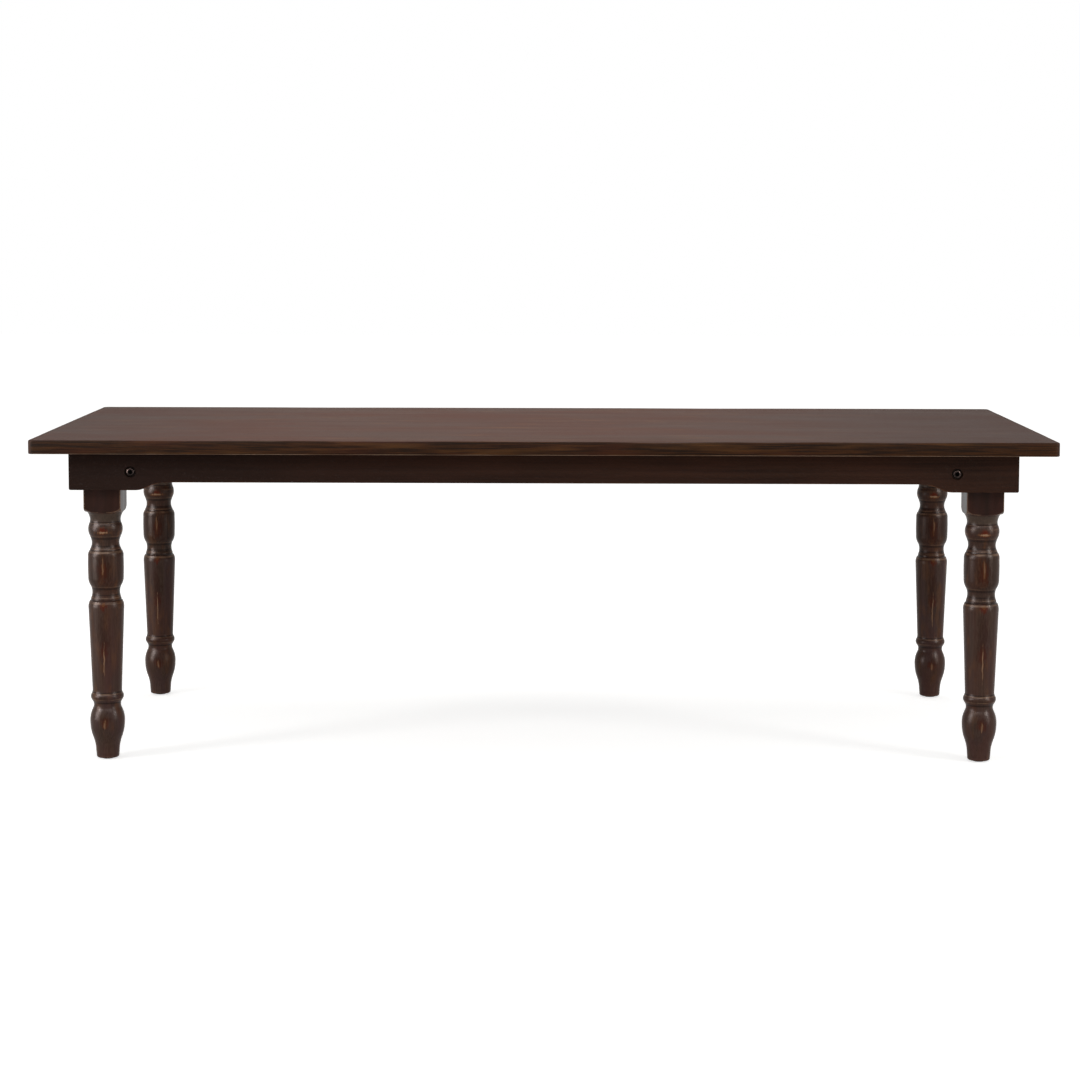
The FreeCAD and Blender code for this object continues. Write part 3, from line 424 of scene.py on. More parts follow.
legLook = {
    "deep": (28, 18, 15),
    "body": (50, 33, 25),
    "pale": (78, 60, 51),
    "plum": (72, 50, 50),
    "red": (80, 40, 26),
    "rust": (88, 31, 12),
    "glow": (45, 21, 10),
    "amber": (108, 68, 38),
    "bare": (154, 122, 96),
    "line": (140, 110, 88),
    "collar": (84, 74, 64),
    "cloud": ((0.05, 0.05, 0.16), 0.35, 0.65),
    "plumPatch": ((0.03, 0.03, 0.2), 0.4, 0.7),
    "warmPatch": ((0.02, 0.02, 0.07), 0.5, 0.72),
    "ragged": ((0.003, 0.003, 0.014), 0.3, 0.7),
    "stretch": ((0.022, 0.022, 0.011), 0.34, 0.62),
    "upright": ((0.03, 0.03, 0.05), 0.36, 0.6),
    "shares": {
        "rings": 0.35, "figure": 0.35, "lift": 0.15, "pale": 0.4, "paleLower": 0.2, "paleFoot": 0.2,
        "paleAlways": 0.25, "block": 0.6, "plumLower": 0.4, "plumAlways": 0.15, "red": 0.26,
        "warm": 0.3, "collarCloud": 0.25, "collar": 0.3, "quirk": 0.7, "front": 0.5, "ragged": 0.5,
        "narrowing": 0.5, "stretch": 0.85, "arrisWorn": 0.4, "arrisAlways": 0.4, "lipWorn": 0.4,
        "lipAlways": 0.1, "mostRubbed": 0.8, "pores": 0.5,
    },
    "gloss": 0.06,
    "roughSpan": (0.27, 0.37),
    "relief": 0.00003,
    "raised": {"rings": 0.35, "fibres": 0.35, "figure": 0.3, "pores": 0.7},
    "pith": (0.034, 0.052),     # off the leg's middle
    "pithUp": 0.7,              # of the leg's x, so that left and right differ
    "shoulder": 0.602,
    "shoulderFade": 0.0006,
    "pommelShare": 0.43,        # rounding of the block's foot, of half the block
    "lip": (0.0004, 0.0016),    # rubbed edge of the shoulder: how far up, half width
    "lipInner": 0.0012,
    "arris": 0.0036,
    "plumBelow": 0.39,          # heights under which it turns plum, and pale at the foot
    "plumFade": 0.02,
    "footBelow": 0.07,
    "footFade": 0.05,
    "collarSpan": (0.5770, 0.6010),
    "collarFade": 0.004,
    # Rubbed through in the middle of each face: colour, height, half height,
    # half width, how much narrower at the foot, how strong
    "rubs": [
        ("rust", 0.5580, 0.0120, 0.0210, -0.6, 0.9),
        ("amber", 0.5530, 0.0044, 0.0210, 0.0, 0.6),
        ("bare", 0.5536, 0.0028, 0.0140, 0.0, 0.8),
        ("glow", 0.4640, 0.0520, 0.0270, 0.0, 1.0),
        ("rust", 0.4600, 0.0330, 0.0140, 0.0, 0.3),
        ("amber", 0.4690, 0.0290, 0.0050, 0.2, 0.34),
        ("bare", 0.4700, 0.0230, 0.0022, 0.2, 0.36),
        ("rust", 0.3730, 0.0140, 0.0190, 0.9, 0.8),
        ("amber", 0.3785, 0.0060, 0.0100, 0.8, 0.6),
        ("rust", 0.2660, 0.0270, 0.0125, 0.0, 0.55),
        ("glow", 0.3000, 0.0900, 0.0190, 0.0, 0.6),
        ("amber", 0.2330, 0.0320, 0.0032, 0.0, 0.25),
        ("bare", 0.2440, 0.0470, 0.0016, -0.2, 0.62),
        ("glow", 0.1510, 0.0050, 0.0220, 0.0, 0.4),
        ("rust", 0.0920, 0.0170, 0.0150, 0.0, 0.5),
        ("glow", 0.0980, 0.0260, 0.0190, 0.0, 0.5),
        ("amber", 0.0880, 0.0130, 0.0046, 0.0, 0.35),
        ("bare", 0.0870, 0.0120, 0.0023, 0.0, 0.4),
    ],
    "rubEdge": 1.1,             # where a mark ends, in its half heights and widths
    "softness": {"glow": 1.1, "rust": 0.9, "amber": 0.6, "bare": 0.6},
    "sway": 0.006,              # how far the marks stray to the side
    "swaySize": (0.05, 0.05, 0.03),
    # Turned edges that are rubbed all round, widened in part into painted highlight bands: height, half
    # width, how much
    "edges": [
        (0.5750, 0.0016, 0.3), (0.5660, 0.0040, 0.2), (0.5431, 0.0016, 0.3), (0.5125, 0.0028, 0.35),
        (0.5050, 0.0042, 0.6), (0.4208, 0.0018, 0.3), (0.3940, 0.0020, 0.45), (0.3820, 0.0040, 0.65),
        (0.1604, 0.0026, 0.55), (0.1468, 0.0016, 0.45), (0.0065, 0.0030, 0.15),
    ],
    # Quirks, darker: height, half width
    "quirks": [
        (0.5770, 0.0028), (0.5380, 0.0044), (0.5190, 0.0034), (0.5093, 0.0022), (0.4160, 0.0044),
        (0.4010, 0.0030), (0.3880, 0.0026), (0.1638, 0.0028), (0.1387, 0.0036),
    ],
}


def legWood(name):
    look, share = legLook, legLook["shares"]
    low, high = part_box(name)
    centre = (low + high) / 2
    half = (high.x - low.x) / 2
    finish = Finish("espresso_" + name, {"Specular IOR Level": look["gloss"]})
    pithX, pithY = look["pith"]
    pith = (centre.x + pithX, centre.y + pithY, centre.x * look["pithUp"])
    rings, fibres, figure, pores = growWood(finish, "z", pith)
    x, y, z = finish.split(finish.vector("SUBTRACT", finish.place, (centre.x, centre.y, 0)))
    cloud = finish.patches(*look["cloud"])
    # The square block is darker than the turning, and its foot is a rounded pommel
    turn = half * look["pommelShare"]
    out = ((x * x + y * y) ** 0.5 - half).most(0).least(turn)
    shoulder = look["shoulder"] + turn - (turn * turn - out * out) ** 0.5
    onBlock = (z - shoulder).within(-look["shoulderFade"], look["shoulderFade"])
    onTurning = 1 - onBlock
    grain = rings * share["rings"] + figure * share["figure"] + share["lift"]
    base = finish.mix(grain, look["deep"], look["body"])
    lower = (look["plumBelow"] - z).within(0, look["plumFade"])
    foot = (look["footBelow"] - z).within(0, look["footFade"])
    pale = fibres * share["pale"] + lower * share["paleLower"] + foot * share["paleFoot"]
    turned = finish.mix(pale + share["paleAlways"], base, look["pale"])
    square = finish.mix(share["block"], base, look["deep"])
    base = finish.mix(onBlock, turned, square)
    plum = finish.patches(*look["plumPatch"]) * (lower * share["plumLower"] + share["plumAlways"])
    base = finish.mix(plum, base, look["plum"])
    base = finish.mix(cloud * share["red"], base, look["red"])
    warm = finish.patches(*look["warmPatch"])
    base = finish.mix(warm * onTurning * share["warm"], base, look["amber"])
    start, end = look["collarSpan"]
    collar = (z - start).within(0, look["collarFade"]) * (end - z).within(0, look["collarFade"])
    collar = collar * onTurning * (cloud * share["collarCloud"] + share["collar"])
    base = finish.mix(collar, base, look["collar"])
    for height, reach in look["quirks"]:
        base = finish.mix(z.line(height, reach) * share["quirk"], base, look["deep"])
    base = rubFaces(finish, base, x, y, z)
    # Arrises of the square block, and the edge of its shoulder
    stretch = finish.patches(*look["stretch"])
    arris = (abs(x).least(abs(y)) - half).line(0, look["arris"]) * onBlock
    arris = arris * (finish.patches(*look["upright"]) * share["arrisWorn"] + share["arrisAlways"])
    lip = (z - shoulder).line(*look["lip"]) * (out > look["lipInner"])
    lip = lip * (stretch * share["lipWorn"] + share["lipAlways"])
    # The rubbed arrises and edges, with their painted highlight bands, go on in light tan
    rubAndHighlight = paintEdgeRubsAndHighlights(z, stretch) + arris + lip
    base = finish.mix(rubAndHighlight.least(share["mostRubbed"]), base, look["line"])
    base = finish.mix(pores * share["pores"], base, look["deep"])
    rough = finish.between(look["roughSpan"], fibres, cloud)
    height = grainHeight(look["raised"], rings, fibres, figure, pores)
    return finish.lay(base, rough, height, look["relief"])


def rubFaces(finish, base, x, y, z):
    # Ragged marks in the middle of each of the four faces, strongest at the front
    look, share = legLook, legLook["shares"]
    onEnd = abs(x) > abs(y)
    across = x + onEnd * (y - x)
    atFront = (y < 0) * (1 - onEnd)
    strength = atFront * share["front"] + (1 - share["front"])
    sway = (finish.spots(finish.place, look["swaySize"]) - 0.5) * look["sway"]
    ragged = (finish.patches(*look["ragged"]) - 0.5) * share["ragged"]
    for colour, height, tall, wide, narrowing, much in look["rubs"]:
        up = (z - height) / tall
        taper = narrowing * share["narrowing"]
        side = (across + sway) / (up * (taper * wide) + wide * (1 - abs(taper)))
        reach = (side * side + up * up) ** 0.5 + ragged
        mark = (look["rubEdge"] - reach).within(0, look["softness"][colour])
        base = finish.mix(mark * strength * much, base, look[colour])
    return base


def paintEdgeRubsAndHighlights(z, stretch):
    # Worn turned edges, partly painted highlight bands, in stretches round the leg
    share = legLook["shares"]["stretch"]
    rubAndHighlight = 0.0
    for height, reach, much in legLook["edges"]:
        rubAndHighlight = z.line(height, reach) * much + rubAndHighlight
    return rubAndHighlight * (stretch * share + (1 - share))


# Plain woods under the top

underLook = {
    "name": "oiled_",
    "deep": (52, 34, 25),
    "body": (96, 66, 48),
    "pale": (124, 90, 66),
    "rough": 0.72,
    "relief": 0.0003,
}

dowelLook = {
    "name": "beech_",
    "deep": (150, 112, 74),
    "body": (186, 148, 104),
    "pale": (206, 172, 128),
    "rough": 0.7,
    "relief": 0.0002,
}

plainLook = {
    "cloud": ((0.18, 0.18, 0.06), 0.35, 0.65),
    "shares": {"rings": 0.6, "figure": 0.3, "paleFibres": 0.4, "paleCloud": 0.25, "pores": 0.5},
    "gloss": 0.3,
    "fibreShine": 0.12,         # less rough along the fibres
    "cloudDull": 0.1,           # rougher in the clouds
    "raised": {"rings": 0.2, "fibres": 0.5, "figure": 0.3, "pores": 0.8},
    "pith": {"x": (0.3, 0.04, -0.06), "y": (0.05, 0.3, -0.06)},
}


def underWood(name, axis, look):
    plain, share = plainLook, plainLook["shares"]
    low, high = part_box(name)
    finish = Finish(look["name"] + name, {"Specular IOR Level": plain["gloss"]})
    pith = (low + high) / 2 + Vector(plain["pith"][axis])
    rings, fibres, figure, pores = growWood(finish, axis, pith)
    cloud = finish.patches(*plain["cloud"])
    grain = rings * share["rings"] + figure * share["figure"]
    base = finish.mix(grain, look["deep"], look["body"])
    pale = fibres * share["paleFibres"] + cloud * share["paleCloud"]
    base = finish.mix(pale, base, look["pale"])
    base = finish.mix(pores * share["pores"], base, look["deep"])
    rough = look["rough"] - fibres * plain["fibreShine"] + cloud * plain["cloudDull"]
    height = grainHeight(plain["raised"], rings, fibres, figure, pores)
    return finish.lay(base, rough, height, look["relief"])


# Metals and nylon

bronzeLook = {"dark": (16, 13, 12), "body": (30, 25, 23), "bright": (58, 50, 45)}
zincLook = {"dark": (104, 104, 100), "body": (164, 164, 158), "bright": (206, 204, 192)}

metalLook = {
    "cloud": ((0.006, 0.006, 0.006), 0.35, 0.65),
    "speck": ((0.0011, 0.0011, 0.0011), 0.56, 0.7),
    "brush": ((0.0004, 0.004, 0.0004), 0.3, 0.7),
    "shares": {"speck": 0.5, "brush": 0.2, "raisedBrush": 0.5, "raisedCloud": 0.5},
    "gloss": 0.5,
    "rough": 0.3,
    "cloudDull": 0.14,
    "speckShine": 0.08,
    "relief": 0.00004,
}


def metal(name, look):
    common, share = metalLook, metalLook["shares"]
    finish = Finish(name, {"Metallic": 1.0, "Specular IOR Level": common["gloss"]})
    cloud = finish.patches(*common["cloud"])
    speck = finish.patches(*common["speck"])
    brush = finish.patches(*common["brush"])
    base = finish.mix(cloud, look["dark"], look["body"])
    base = finish.mix(speck * share["speck"] + brush * share["brush"], base, look["bright"])
    rough = common["rough"] + cloud * common["cloudDull"] - speck * common["speckShine"]
    height = brush * share["raisedBrush"] + cloud * share["raisedCloud"]
    return finish.lay(base, rough, height, common["relief"])


boltLook = {
    # Painted shade: the near black in the socket
    "deep": (3, 3, 3),
    "body": (30, 25, 24),
    "rim": (66, 57, 54),        # painted highlight in places round the dome
    "cloud": ((0.009, 0.009, 0.009), 0.42, 0.58),
    "rimCloud": 0.75,
    "rimAlways": 0.05,
    "socket": (0.0048, 0.0054),
    "rimRadius": 0.0072,
    "rimReach": 0.0024,
    "gloss": 0.5,
    "rough": 0.34,
    "cloudDull": 0.12,
    "relief": 0.00004,
}


def boltMetal(name):
    # Browned steel, with painted shade that blackens the socket and a painted highlight ring in patches
    # on the dome
    look = boltLook
    low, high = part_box(name)
    middle = (low + high) / 2
    finish = Finish("browned_" + name, {"Metallic": 1.0, "Specular IOR Level": look["gloss"]})
    x, _, z = finish.split(finish.vector("SUBTRACT", finish.place, middle))
    radius = (x * x + z * z) ** 0.5
    cloud = finish.patches(*look["cloud"])
    # Painted highlight: a patchy bright ring round the dome
    ring = radius.line(look["rimRadius"], look["rimReach"])
    base = finish.mix(ring * (cloud * look["rimCloud"] + look["rimAlways"]), look["body"], look["rim"])
    # Painted shade: the socket and its mouth go near black
    base = finish.mix(radius.within(*look["socket"]), look["deep"], base)
    return finish.lay(base, cloud * look["cloudDull"] + look["rough"], cloud, look["relief"])


nylonLook = {
    "dark": (50, 44, 40),
    "body": (86, 78, 70),
    "cloud": ((0.004, 0.004, 0.004), 0.3, 0.7),
    "grit": ((0.0007, 0.0007, 0.0007), 0.4, 0.7),
    "darkCloud": 0.6,
    "darkGrit": 0.3,
    "gloss": 0.45,
    "rough": 0.48,
    "gritDull": 0.2,
    "relief": 0.00008,
}


def nylon():
    look = nylonLook
    finish = Finish("nylon", {"Specular IOR Level": look["gloss"]})
    cloud = finish.patches(*look["cloud"])
    grit = finish.patches(*look["grit"])
    base = finish.mix(cloud * look["darkCloud"] + grit * look["darkGrit"], look["body"], look["dark"])
    return finish.lay(base, look["rough"] + grit * look["gritDull"], grit, look["relief"])


planks = sorted(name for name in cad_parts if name.startswith("top_plank_"))
for plank in planks:
    coat([plank], topWood(plank))
for apron in ("front_apron", "back_apron"):
    coat([apron], apronWood(apron, "x"))
for apron in ("left_end_apron", "right_end_apron"):
    coat([apron], apronWood(apron, "y"))
for leg in eachPart("_leg"):
    coat([leg], legWood(leg))
for part in eachPart("_batten", "_rail", "_end_cleat"):
    coat([part], underWood(part, "y", underLook))
for part in ("front_cleats", "back_cleats"):
    coat([part], underWood(part, "x", underLook))
coat(["corner_dowels"], underWood("corner_dowels", "y", dowelLook))
bronze = metal("bronzed_steel", bronzeLook)
zinc = metal("zinc_steel", zincLook)
coat(eachPart("_pivot_sleeve"), bronze)
for bolt in eachPart("_pivot_bolt"):
    coat([bolt], boltMetal(bolt))
coat(eachPart("_screws", "_barrel_nut", "_lock_plate", "_lock_rod", "_lock_knob"), zinc)
coat(eachPart("_glide", "_washer"), nylon())
print("Finishes laid on the parts")


# Shaping by hand: what every modelled piece needs

close = 1e-5                        # two places this near are the same
upwards = 0.9                       # a face looks up where its normal's z is above this
smoothBelow = math.radians(30)      # a sharper edge than this stays sharp
clear = 2                           # a cutting tool reaches past the piece, times its size


def putDown():
    # Out of edit mode
    if bpy.context.mode != "OBJECT":
        bpy.ops.object.mode_set(mode="OBJECT")


def lone(*pieces):
    # Selects these and nothing else; the first is the active one
    putDown()
    bpy.ops.object.select_all(action="DESELECT")
    for piece in pieces:
        piece.select_set(True)
    bpy.context.view_layer.objects.active = pieces[0]
    return pieces[0]


def pick(piece, kind, wanted):
    # In edit mode, selects the faces, edges or points that wanted() agrees to
    if bpy.context.mode == "OBJECT":
        lone(piece)
        bpy.ops.object.mode_set(mode="EDIT")
    bpy.ops.mesh.select_mode(type=kind)
    bpy.ops.mesh.select_all(action="DESELECT")
    bpy.ops.object.mode_set(mode="OBJECT")
    mesh = piece.data
    for part in {"FACE": mesh.polygons, "EDGE": mesh.edges, "VERT": mesh.vertices}[kind]:
        if kind == "FACE":
            seen = (part.center, part.normal)
        elif kind == "EDGE":
            seen = [mesh.vertices[end].co for end in part.vertices]
        else:
            seen = (part.co,)
        part.select = not part.hide and bool(wanted(*seen))
    bpy.ops.object.mode_set(mode="EDIT")


def edit(name):
    # Names the new primitive, puts its place in its mesh and opens it for editing
    piece = bpy.context.object
    piece.name = name
    piece.data.name = name
    lone(piece)
    bpy.ops.object.transform_apply(location=True, rotation=True, scale=True)
    bpy.ops.object.mode_set(mode="EDIT")
    return piece


def block(name, low, high):
    putDown()
    bpy.ops.mesh.primitive_cube_add(size=1)
    piece = edit(name)
    bpy.ops.transform.resize(value=Vector(high) - Vector(low))
    bpy.ops.transform.translate(value=(Vector(low) + Vector(high)) / 2)
    return piece


def peg(name, sides, radius, bottom, top):
    # A round or many-sided bar on the z axis
    putDown()
    depth = top - bottom
    place = (0, 0, (top + bottom) / 2)
    bpy.ops.mesh.primitive_cylinder_add(vertices=sides, radius=radius, depth=depth, location=place)
    return edit(name)


def carve(piece, tool, operation="DIFFERENCE"):
    # Cuts the tool's shape out of the piece, or keeps what both hold
    lone(piece)
    cut = piece.modifiers.new("cut", "BOOLEAN")
    cut.operation = operation
    cut.object = tool
    cut.solver = "EXACT"
    bpy.ops.object.modifier_apply(modifier=cut.name)
    bpy.data.objects.remove(tool, do_unlink=True)


def copyTo(pattern, places, name):
    # One piece made of copies of the pattern, each at a place and with a turn
    putDown()
    copies = []
    for place, turn in places:
        copy = pattern.copy()
        copy.data = pattern.data.copy()
        bpy.context.scene.collection.objects.link(copy)
        copy.location = place
        copy.rotation_mode = "ZYX"
        copy.rotation_euler = turn
        copies.append(copy)
    joined = lone(*copies)
    bpy.ops.object.transform_apply(location=True, rotation=True, scale=True)
    if len(copies) > 1:
        bpy.ops.object.join()
    joined.name = name
    joined.data.name = name
    return joined


def settle(piece, place, turn):
    # Moves the piece to where it belongs and puts that in its mesh
    piece.location = place
    piece.rotation_euler = turn
    lone(piece)
    bpy.ops.object.transform_apply(location=True, rotation=True, scale=True)


def drawOut(first, second, narrow):
    # Draws the picked face out along z twice, and narrows its end
    for climb in (first, second):
        bpy.ops.mesh.extrude_region_move(TRANSFORM_OT_translate={"value": (0, 0, climb)})
    bpy.ops.transform.resize(value=(narrow, narrow, 1), center_override=(0, 0, 0))


def finishPiece(piece, material, body, replaced):
    # Smooth faces, the finish, and what the piece is to the frame
    lone(piece)
    bpy.ops.object.shade_smooth_by_angle(angle=smoothBelow)
    piece.data.materials.clear()
    piece.data.materials.append(material)
    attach(piece, body)
    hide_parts(replaced)


def spreadOut(name, axis):
    # Lowest and highest corner of each screw in one CAD part; all point along axis
    reach = 0.012       # a screw's points are nearer than this, other screws are not
    groups = []
    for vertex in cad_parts[name].data.vertices:
        flat = vertex.co - axis * vertex.co.dot(axis)
        near = [group for group in groups if (group[0] - flat).length < reach]
        if near:
            near[0][1].append(vertex.co)
        else:
            groups.append((flat, [vertex.co]))
    boxes = []
    for _, points in groups:
        low = Vector([min(point[way] for point in points) for way in range(3)])
        high = Vector([max(point[way] for point in points) for way in range(3)])
        boxes.append((low, high))
    return boxes


# Outer planks, eased by hand: the arris dips and swells along the table

plankCraft = {
    "cornerRound": 0.014,       # upright corners of the table
    "cornerSteps": 6,
    "topRound": 0.0032,
    "lowRound": 0.0024,
    "roundSteps": 4,
    "cutEvery": 0.04,           # how close the cross cuts lie
    "pickShare": 0.6,           # how much of that to each side a dip takes hold of
    "easing": 0.024,            # how far in from the side the top is planed down
    # Middle along the table, reach, drop of the arris
    "frontDips": [
        (-0.83, 0.16, 0.0008), (-0.42, 0.22, 0.0010), (0.02, 0.18, 0.0007), (0.30, 0.17, 0.0026),
        (0.52, 0.13, 0.0012), (0.86, 0.20, 0.0014),
    ],
    "backDips": [(-0.6, 0.2, 0.0004), (0.45, 0.24, 0.0005)],
}


def roundOff(piece, low, high, rim):
    # Upright corners first, then the arrises round the outside, above and below
    look = plankCraft

    def upright(a, b):
        return abs(a.y - rim) < close and abs(b.y - rim) < close and abs(a.z - b.z) > close

    def sideOrEnd(a, b):
        # On the upper or lower face, and not on the seam or across the plank
        middle = (a + b) / 2
        onSeam = abs(abs(middle.y - rim) - (high.y - low.y)) < close
        across = abs(a.x - b.x) < close and abs(a.x) < high.x - close
        inside = abs(a.y - b.y) < close and abs(a.y - rim) > close
        return abs(a.z - b.z) < close and not (onSeam or across or inside)

    pick(piece, "EDGE", upright)
    bpy.ops.mesh.bevel(offset=look["cornerRound"], segments=look["cornerSteps"])
    for z, size in ((high.z, look["topRound"]), (low.z, look["lowRound"])):
        pick(piece, "EDGE", lambda a, b: sideOrEnd(a, b) and abs(a.z - z) < close)
        bpy.ops.mesh.bevel(offset=size, segments=look["roundSteps"])


def cutAcross(low, high, seam):
    # One cut along the plank, and one every so often across it
    count = int((high.x - low.x) / plankCraft["cutEvery"])
    cuts = [((0, seam, 0), (0, 1, 0))]
    for number in range(1, count):
        cuts.append(((low.x + number * (high.x - low.x) / count, 0, 0), (1, 0, 0)))
    for point, normal in cuts:
        bpy.ops.mesh.select_all(action="SELECT")
        bpy.ops.mesh.bisect(plane_co=point, plane_no=normal)


def dipArris(piece, top, rim, dips):
    # Everything but the upper arris is hidden, so that only the arris moves
    look = plankCraft
    shallow = top - look["topRound"] - close
    reachIn = look["topRound"] + close
    pick(piece, "VERT", lambda point: point.z < shallow or abs(point.y - rim) > reachIn)
    bpy.ops.mesh.hide()
    for x, reach, drop in dips:
        pick(piece, "VERT", lambda point: abs(point.x - x) < look["cutEvery"] * look["pickShare"])
        bpy.ops.transform.translate(value=(0, 0, -drop), use_proportional_edit=True,
                                    proportional_edit_falloff="SMOOTH", proportional_size=reach)
    bpy.ops.mesh.reveal(select=False)


def easePlank(name, replaced, outward, dips):
    low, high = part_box(replaced)
    rim = high.y if outward > 0 else low.y
    piece = block(name, low, high)
    roundOff(piece, low, high, rim)
    cutAcross(low, high, rim - outward * plankCraft["easing"])
    dipArris(piece, high.z, rim, dips)
    finishPiece(piece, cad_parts[replaced].data.materials[0], "table", replaced)


easePlank("front_plank_eased", planks[0], -1, plankCraft["frontDips"])
easePlank("back_plank_eased", planks[-1], 1, plankCraft["backDips"])
print("Outer planks eased")


# Wood screws: a pan head with a cross for the driver, and a shank with a point

screwCraft = {
    "sides": 24,
    "crown": 0.36,              # rounding of the head, as a share of its height
    "crownSteps": 3,
    "shankShare": 0.48,         # shank, of the head's width
    "point": 0.16,              # share of the length that is the point
    "tip": 0.12,                # width of its tip, of the shank's
    "crossLong": 0.6,           # arms of the cross, of the head's width
    "crossWide": 0.13,
    "crossDeep": 0.62,          # of the head's height
    "crossTaper": 0.55,         # width at its bottom, of its width above
    "turnEach": 37,             # degrees from one screw's cross to the next
    "headHeights": {
        "batten_screws": 0.0028,
        "cleat_screws": 0.0028,
        "left_lock_screws": 0.002,
        "right_lock_screws": 0.002,
    },
}


def woodScrew(width, height, length):
    # Stands on its head: z of zero is under the head, the point is up
    look = screwCraft
    piece = peg("screw_pattern", look["sides"], width / 2, -height, 0)
    pick(piece, "EDGE", lambda a, b: max(a.z, b.z) < close - height)
    bpy.ops.mesh.bevel(offset=height * look["crown"], segments=look["crownSteps"])
    pick(piece, "FACE", lambda middle, normal: normal.z > upwards)
    bpy.ops.mesh.inset(thickness=width / 2 * (1 - look["shankShare"]), depth=0)
    point = length * look["point"]
    drawOut(length - point, point, look["tip"])
    long, wide = width * look["crossLong"] / 2, width * look["crossWide"] / 2
    floor = height * (look["crossDeep"] - 1)
    taper = (look["crossTaper"], look["crossTaper"], 1)
    for alongX, alongY in ((long, wide), (wide, long)):
        tool = block("driver", (-alongX, -alongY, -clear * height), (alongX, alongY, floor))
        pick(tool, "FACE", lambda middle, normal: normal.z > upwards)
        bpy.ops.transform.resize(value=taper, center_override=(0, 0, floor))
        carve(piece, tool)
    return piece


def setScrews(replaced, headHeight):
    # Each copy stands where the CAD part has a screw, with its cross turned a little
    boxes = spreadOut(replaced, Vector((0, 0, 1)))
    low, high = boxes[0]
    pattern = woodScrew(high.x - low.x, headHeight, high.z - low.z - headHeight)
    places = []
    for number, (low, high) in enumerate(boxes):
        place = ((low.x + high.x) / 2, (low.y + high.y) / 2, low.z + headHeight)
        places.append((place, (0, 0, math.radians(screwCraft["turnEach"] * number))))
    piece = copyTo(pattern, places, "cross_" + replaced)
    bpy.data.objects.remove(pattern, do_unlink=True)
    finishPiece(piece, zinc, "table", replaced)


for replaced, headHeight in screwCraft["headHeights"].items():
    setScrews(replaced, headHeight)
print("Wood screws set")


# Screws that hold a rail to its leg blocks: a chamfered hexagon on a pointed shank

lagCraft = {
    "flats": 0.013,
    "head": 0.0053,
    "shank": 0.008,
    "point": 0.008,
    "tip": 0.1,                 # width of its tip, of the shank's
    # The cone that chamfers the hexagon: shares of the width across the flats
    "coneSides": 36,
    "coneFoot": 0.46,
    "coneTop": 1.5,
    "coneHeight": 0.6,
    "turnEach": 19,             # degrees from one screw's hexagon to the next
}


def lagScrew(length):
    # Stands on its head, as the wood screw does
    look = lagCraft
    flats = look["flats"]
    piece = peg("lag_pattern", 6, flats / math.sqrt(3), -look["head"], 0)
    putDown()
    height = flats * look["coneHeight"]
    bpy.ops.mesh.primitive_cone_add(vertices=look["coneSides"], radius1=flats * look["coneFoot"],
                                    radius2=flats * look["coneTop"], depth=height,
                                    location=(0, 0, height / 2 - look["head"]))
    carve(piece, edit("chamfer"), "INTERSECT")
    pick(piece, "FACE", lambda middle, normal: normal.z > upwards)
    bpy.ops.mesh.inset(thickness=flats / 2 - look["shank"] / 2, depth=0)
    drawOut(length - look["point"], look["point"], look["tip"])
    return piece


def railScrews(end, outward):
    replaced = end + "_rail_screws"
    boxes = spreadOut(replaced, Vector((1, 0, 0)))
    low, high = boxes[0]
    pattern = lagScrew(high.x - low.x - lagCraft["head"])
    places = []
    for number, (low, high) in enumerate(boxes):
        seat = low.x + lagCraft["head"] if outward > 0 else high.x - lagCraft["head"]
        place = (seat, (low.y + high.y) / 2, (low.z + high.z) / 2)
        turn = (0, outward * math.pi / 2, math.radians(lagCraft["turnEach"] * number))
        places.append((place, turn))
    piece = copyTo(pattern, places, end + "_lag_screws")
    bpy.data.objects.remove(pattern, do_unlink=True)
    finishPiece(piece, zinc, end + "_leg_frame", replaced)


railScrews("left", -1)
railScrews("right", 1)
print("Rail screws set")


# Pivot bolts: a domed head with a hexagon socket; and the cross nuts that they go into

boltCraft = {
    "sides": 48,
    "head": 0.02,
    "headHeight": 0.005,
    "headChamfer": 0.00035,     # under the head
    "chamferSteps": 2,
    "dome": 0.0042,
    "domeSteps": 7,
    "socket": 0.008,            # across the flats
    "socketDepth": 0.0034,
    "shank": 0.01,
    "tip": 0.001,
    "nutChamfer": 0.0007,
    "nutSlot": 0.0018,
    "nutSlotDepth": 0.0022,
    "boreSides": 32,
    "boreGap": 0.0001,          # all round the bolt in its nut
}


def pivotBolt(replaced, body, outward):
    # Made along z, with the top of the head at zero and the tip down, then turned
    look = boltCraft
    low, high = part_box(replaced)
    under = -look["headHeight"]
    name = replaced.replace("pivot_bolt", "domed_bolt")
    piece = peg(name, look["sides"], look["head"] / 2, under, 0)
    pick(piece, "EDGE", lambda a, b: min(a.z, b.z) > -close)
    bpy.ops.mesh.bevel(offset=look["dome"], segments=look["domeSteps"])
    pick(piece, "EDGE", lambda a, b: max(a.z, b.z) < under + close)
    bpy.ops.mesh.bevel(offset=look["headChamfer"], segments=look["chamferSteps"])
    pick(piece, "FACE", lambda middle, normal: normal.z < close - 1)
    ledge = (look["head"] - look["shank"]) / 2 - look["headChamfer"]
    bpy.ops.mesh.inset(thickness=ledge, depth=0)
    shank = high.y - low.y - look["headHeight"] - look["tip"]
    drawOut(-shank, -look["tip"], 1 - 2 * look["tip"] / look["shank"])
    corner = look["socket"] / math.sqrt(3)
    carve(piece, peg("socket", 6, corner, -look["socketDepth"], look["socketDepth"]))
    middle = (low + high) / 2
    place = (middle.x, high.y if outward > 0 else low.y, middle.z)
    settle(piece, place, (-outward * math.pi / 2, 0, 0))
    finishPiece(piece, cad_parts[replaced].data.materials[0], body, replaced)


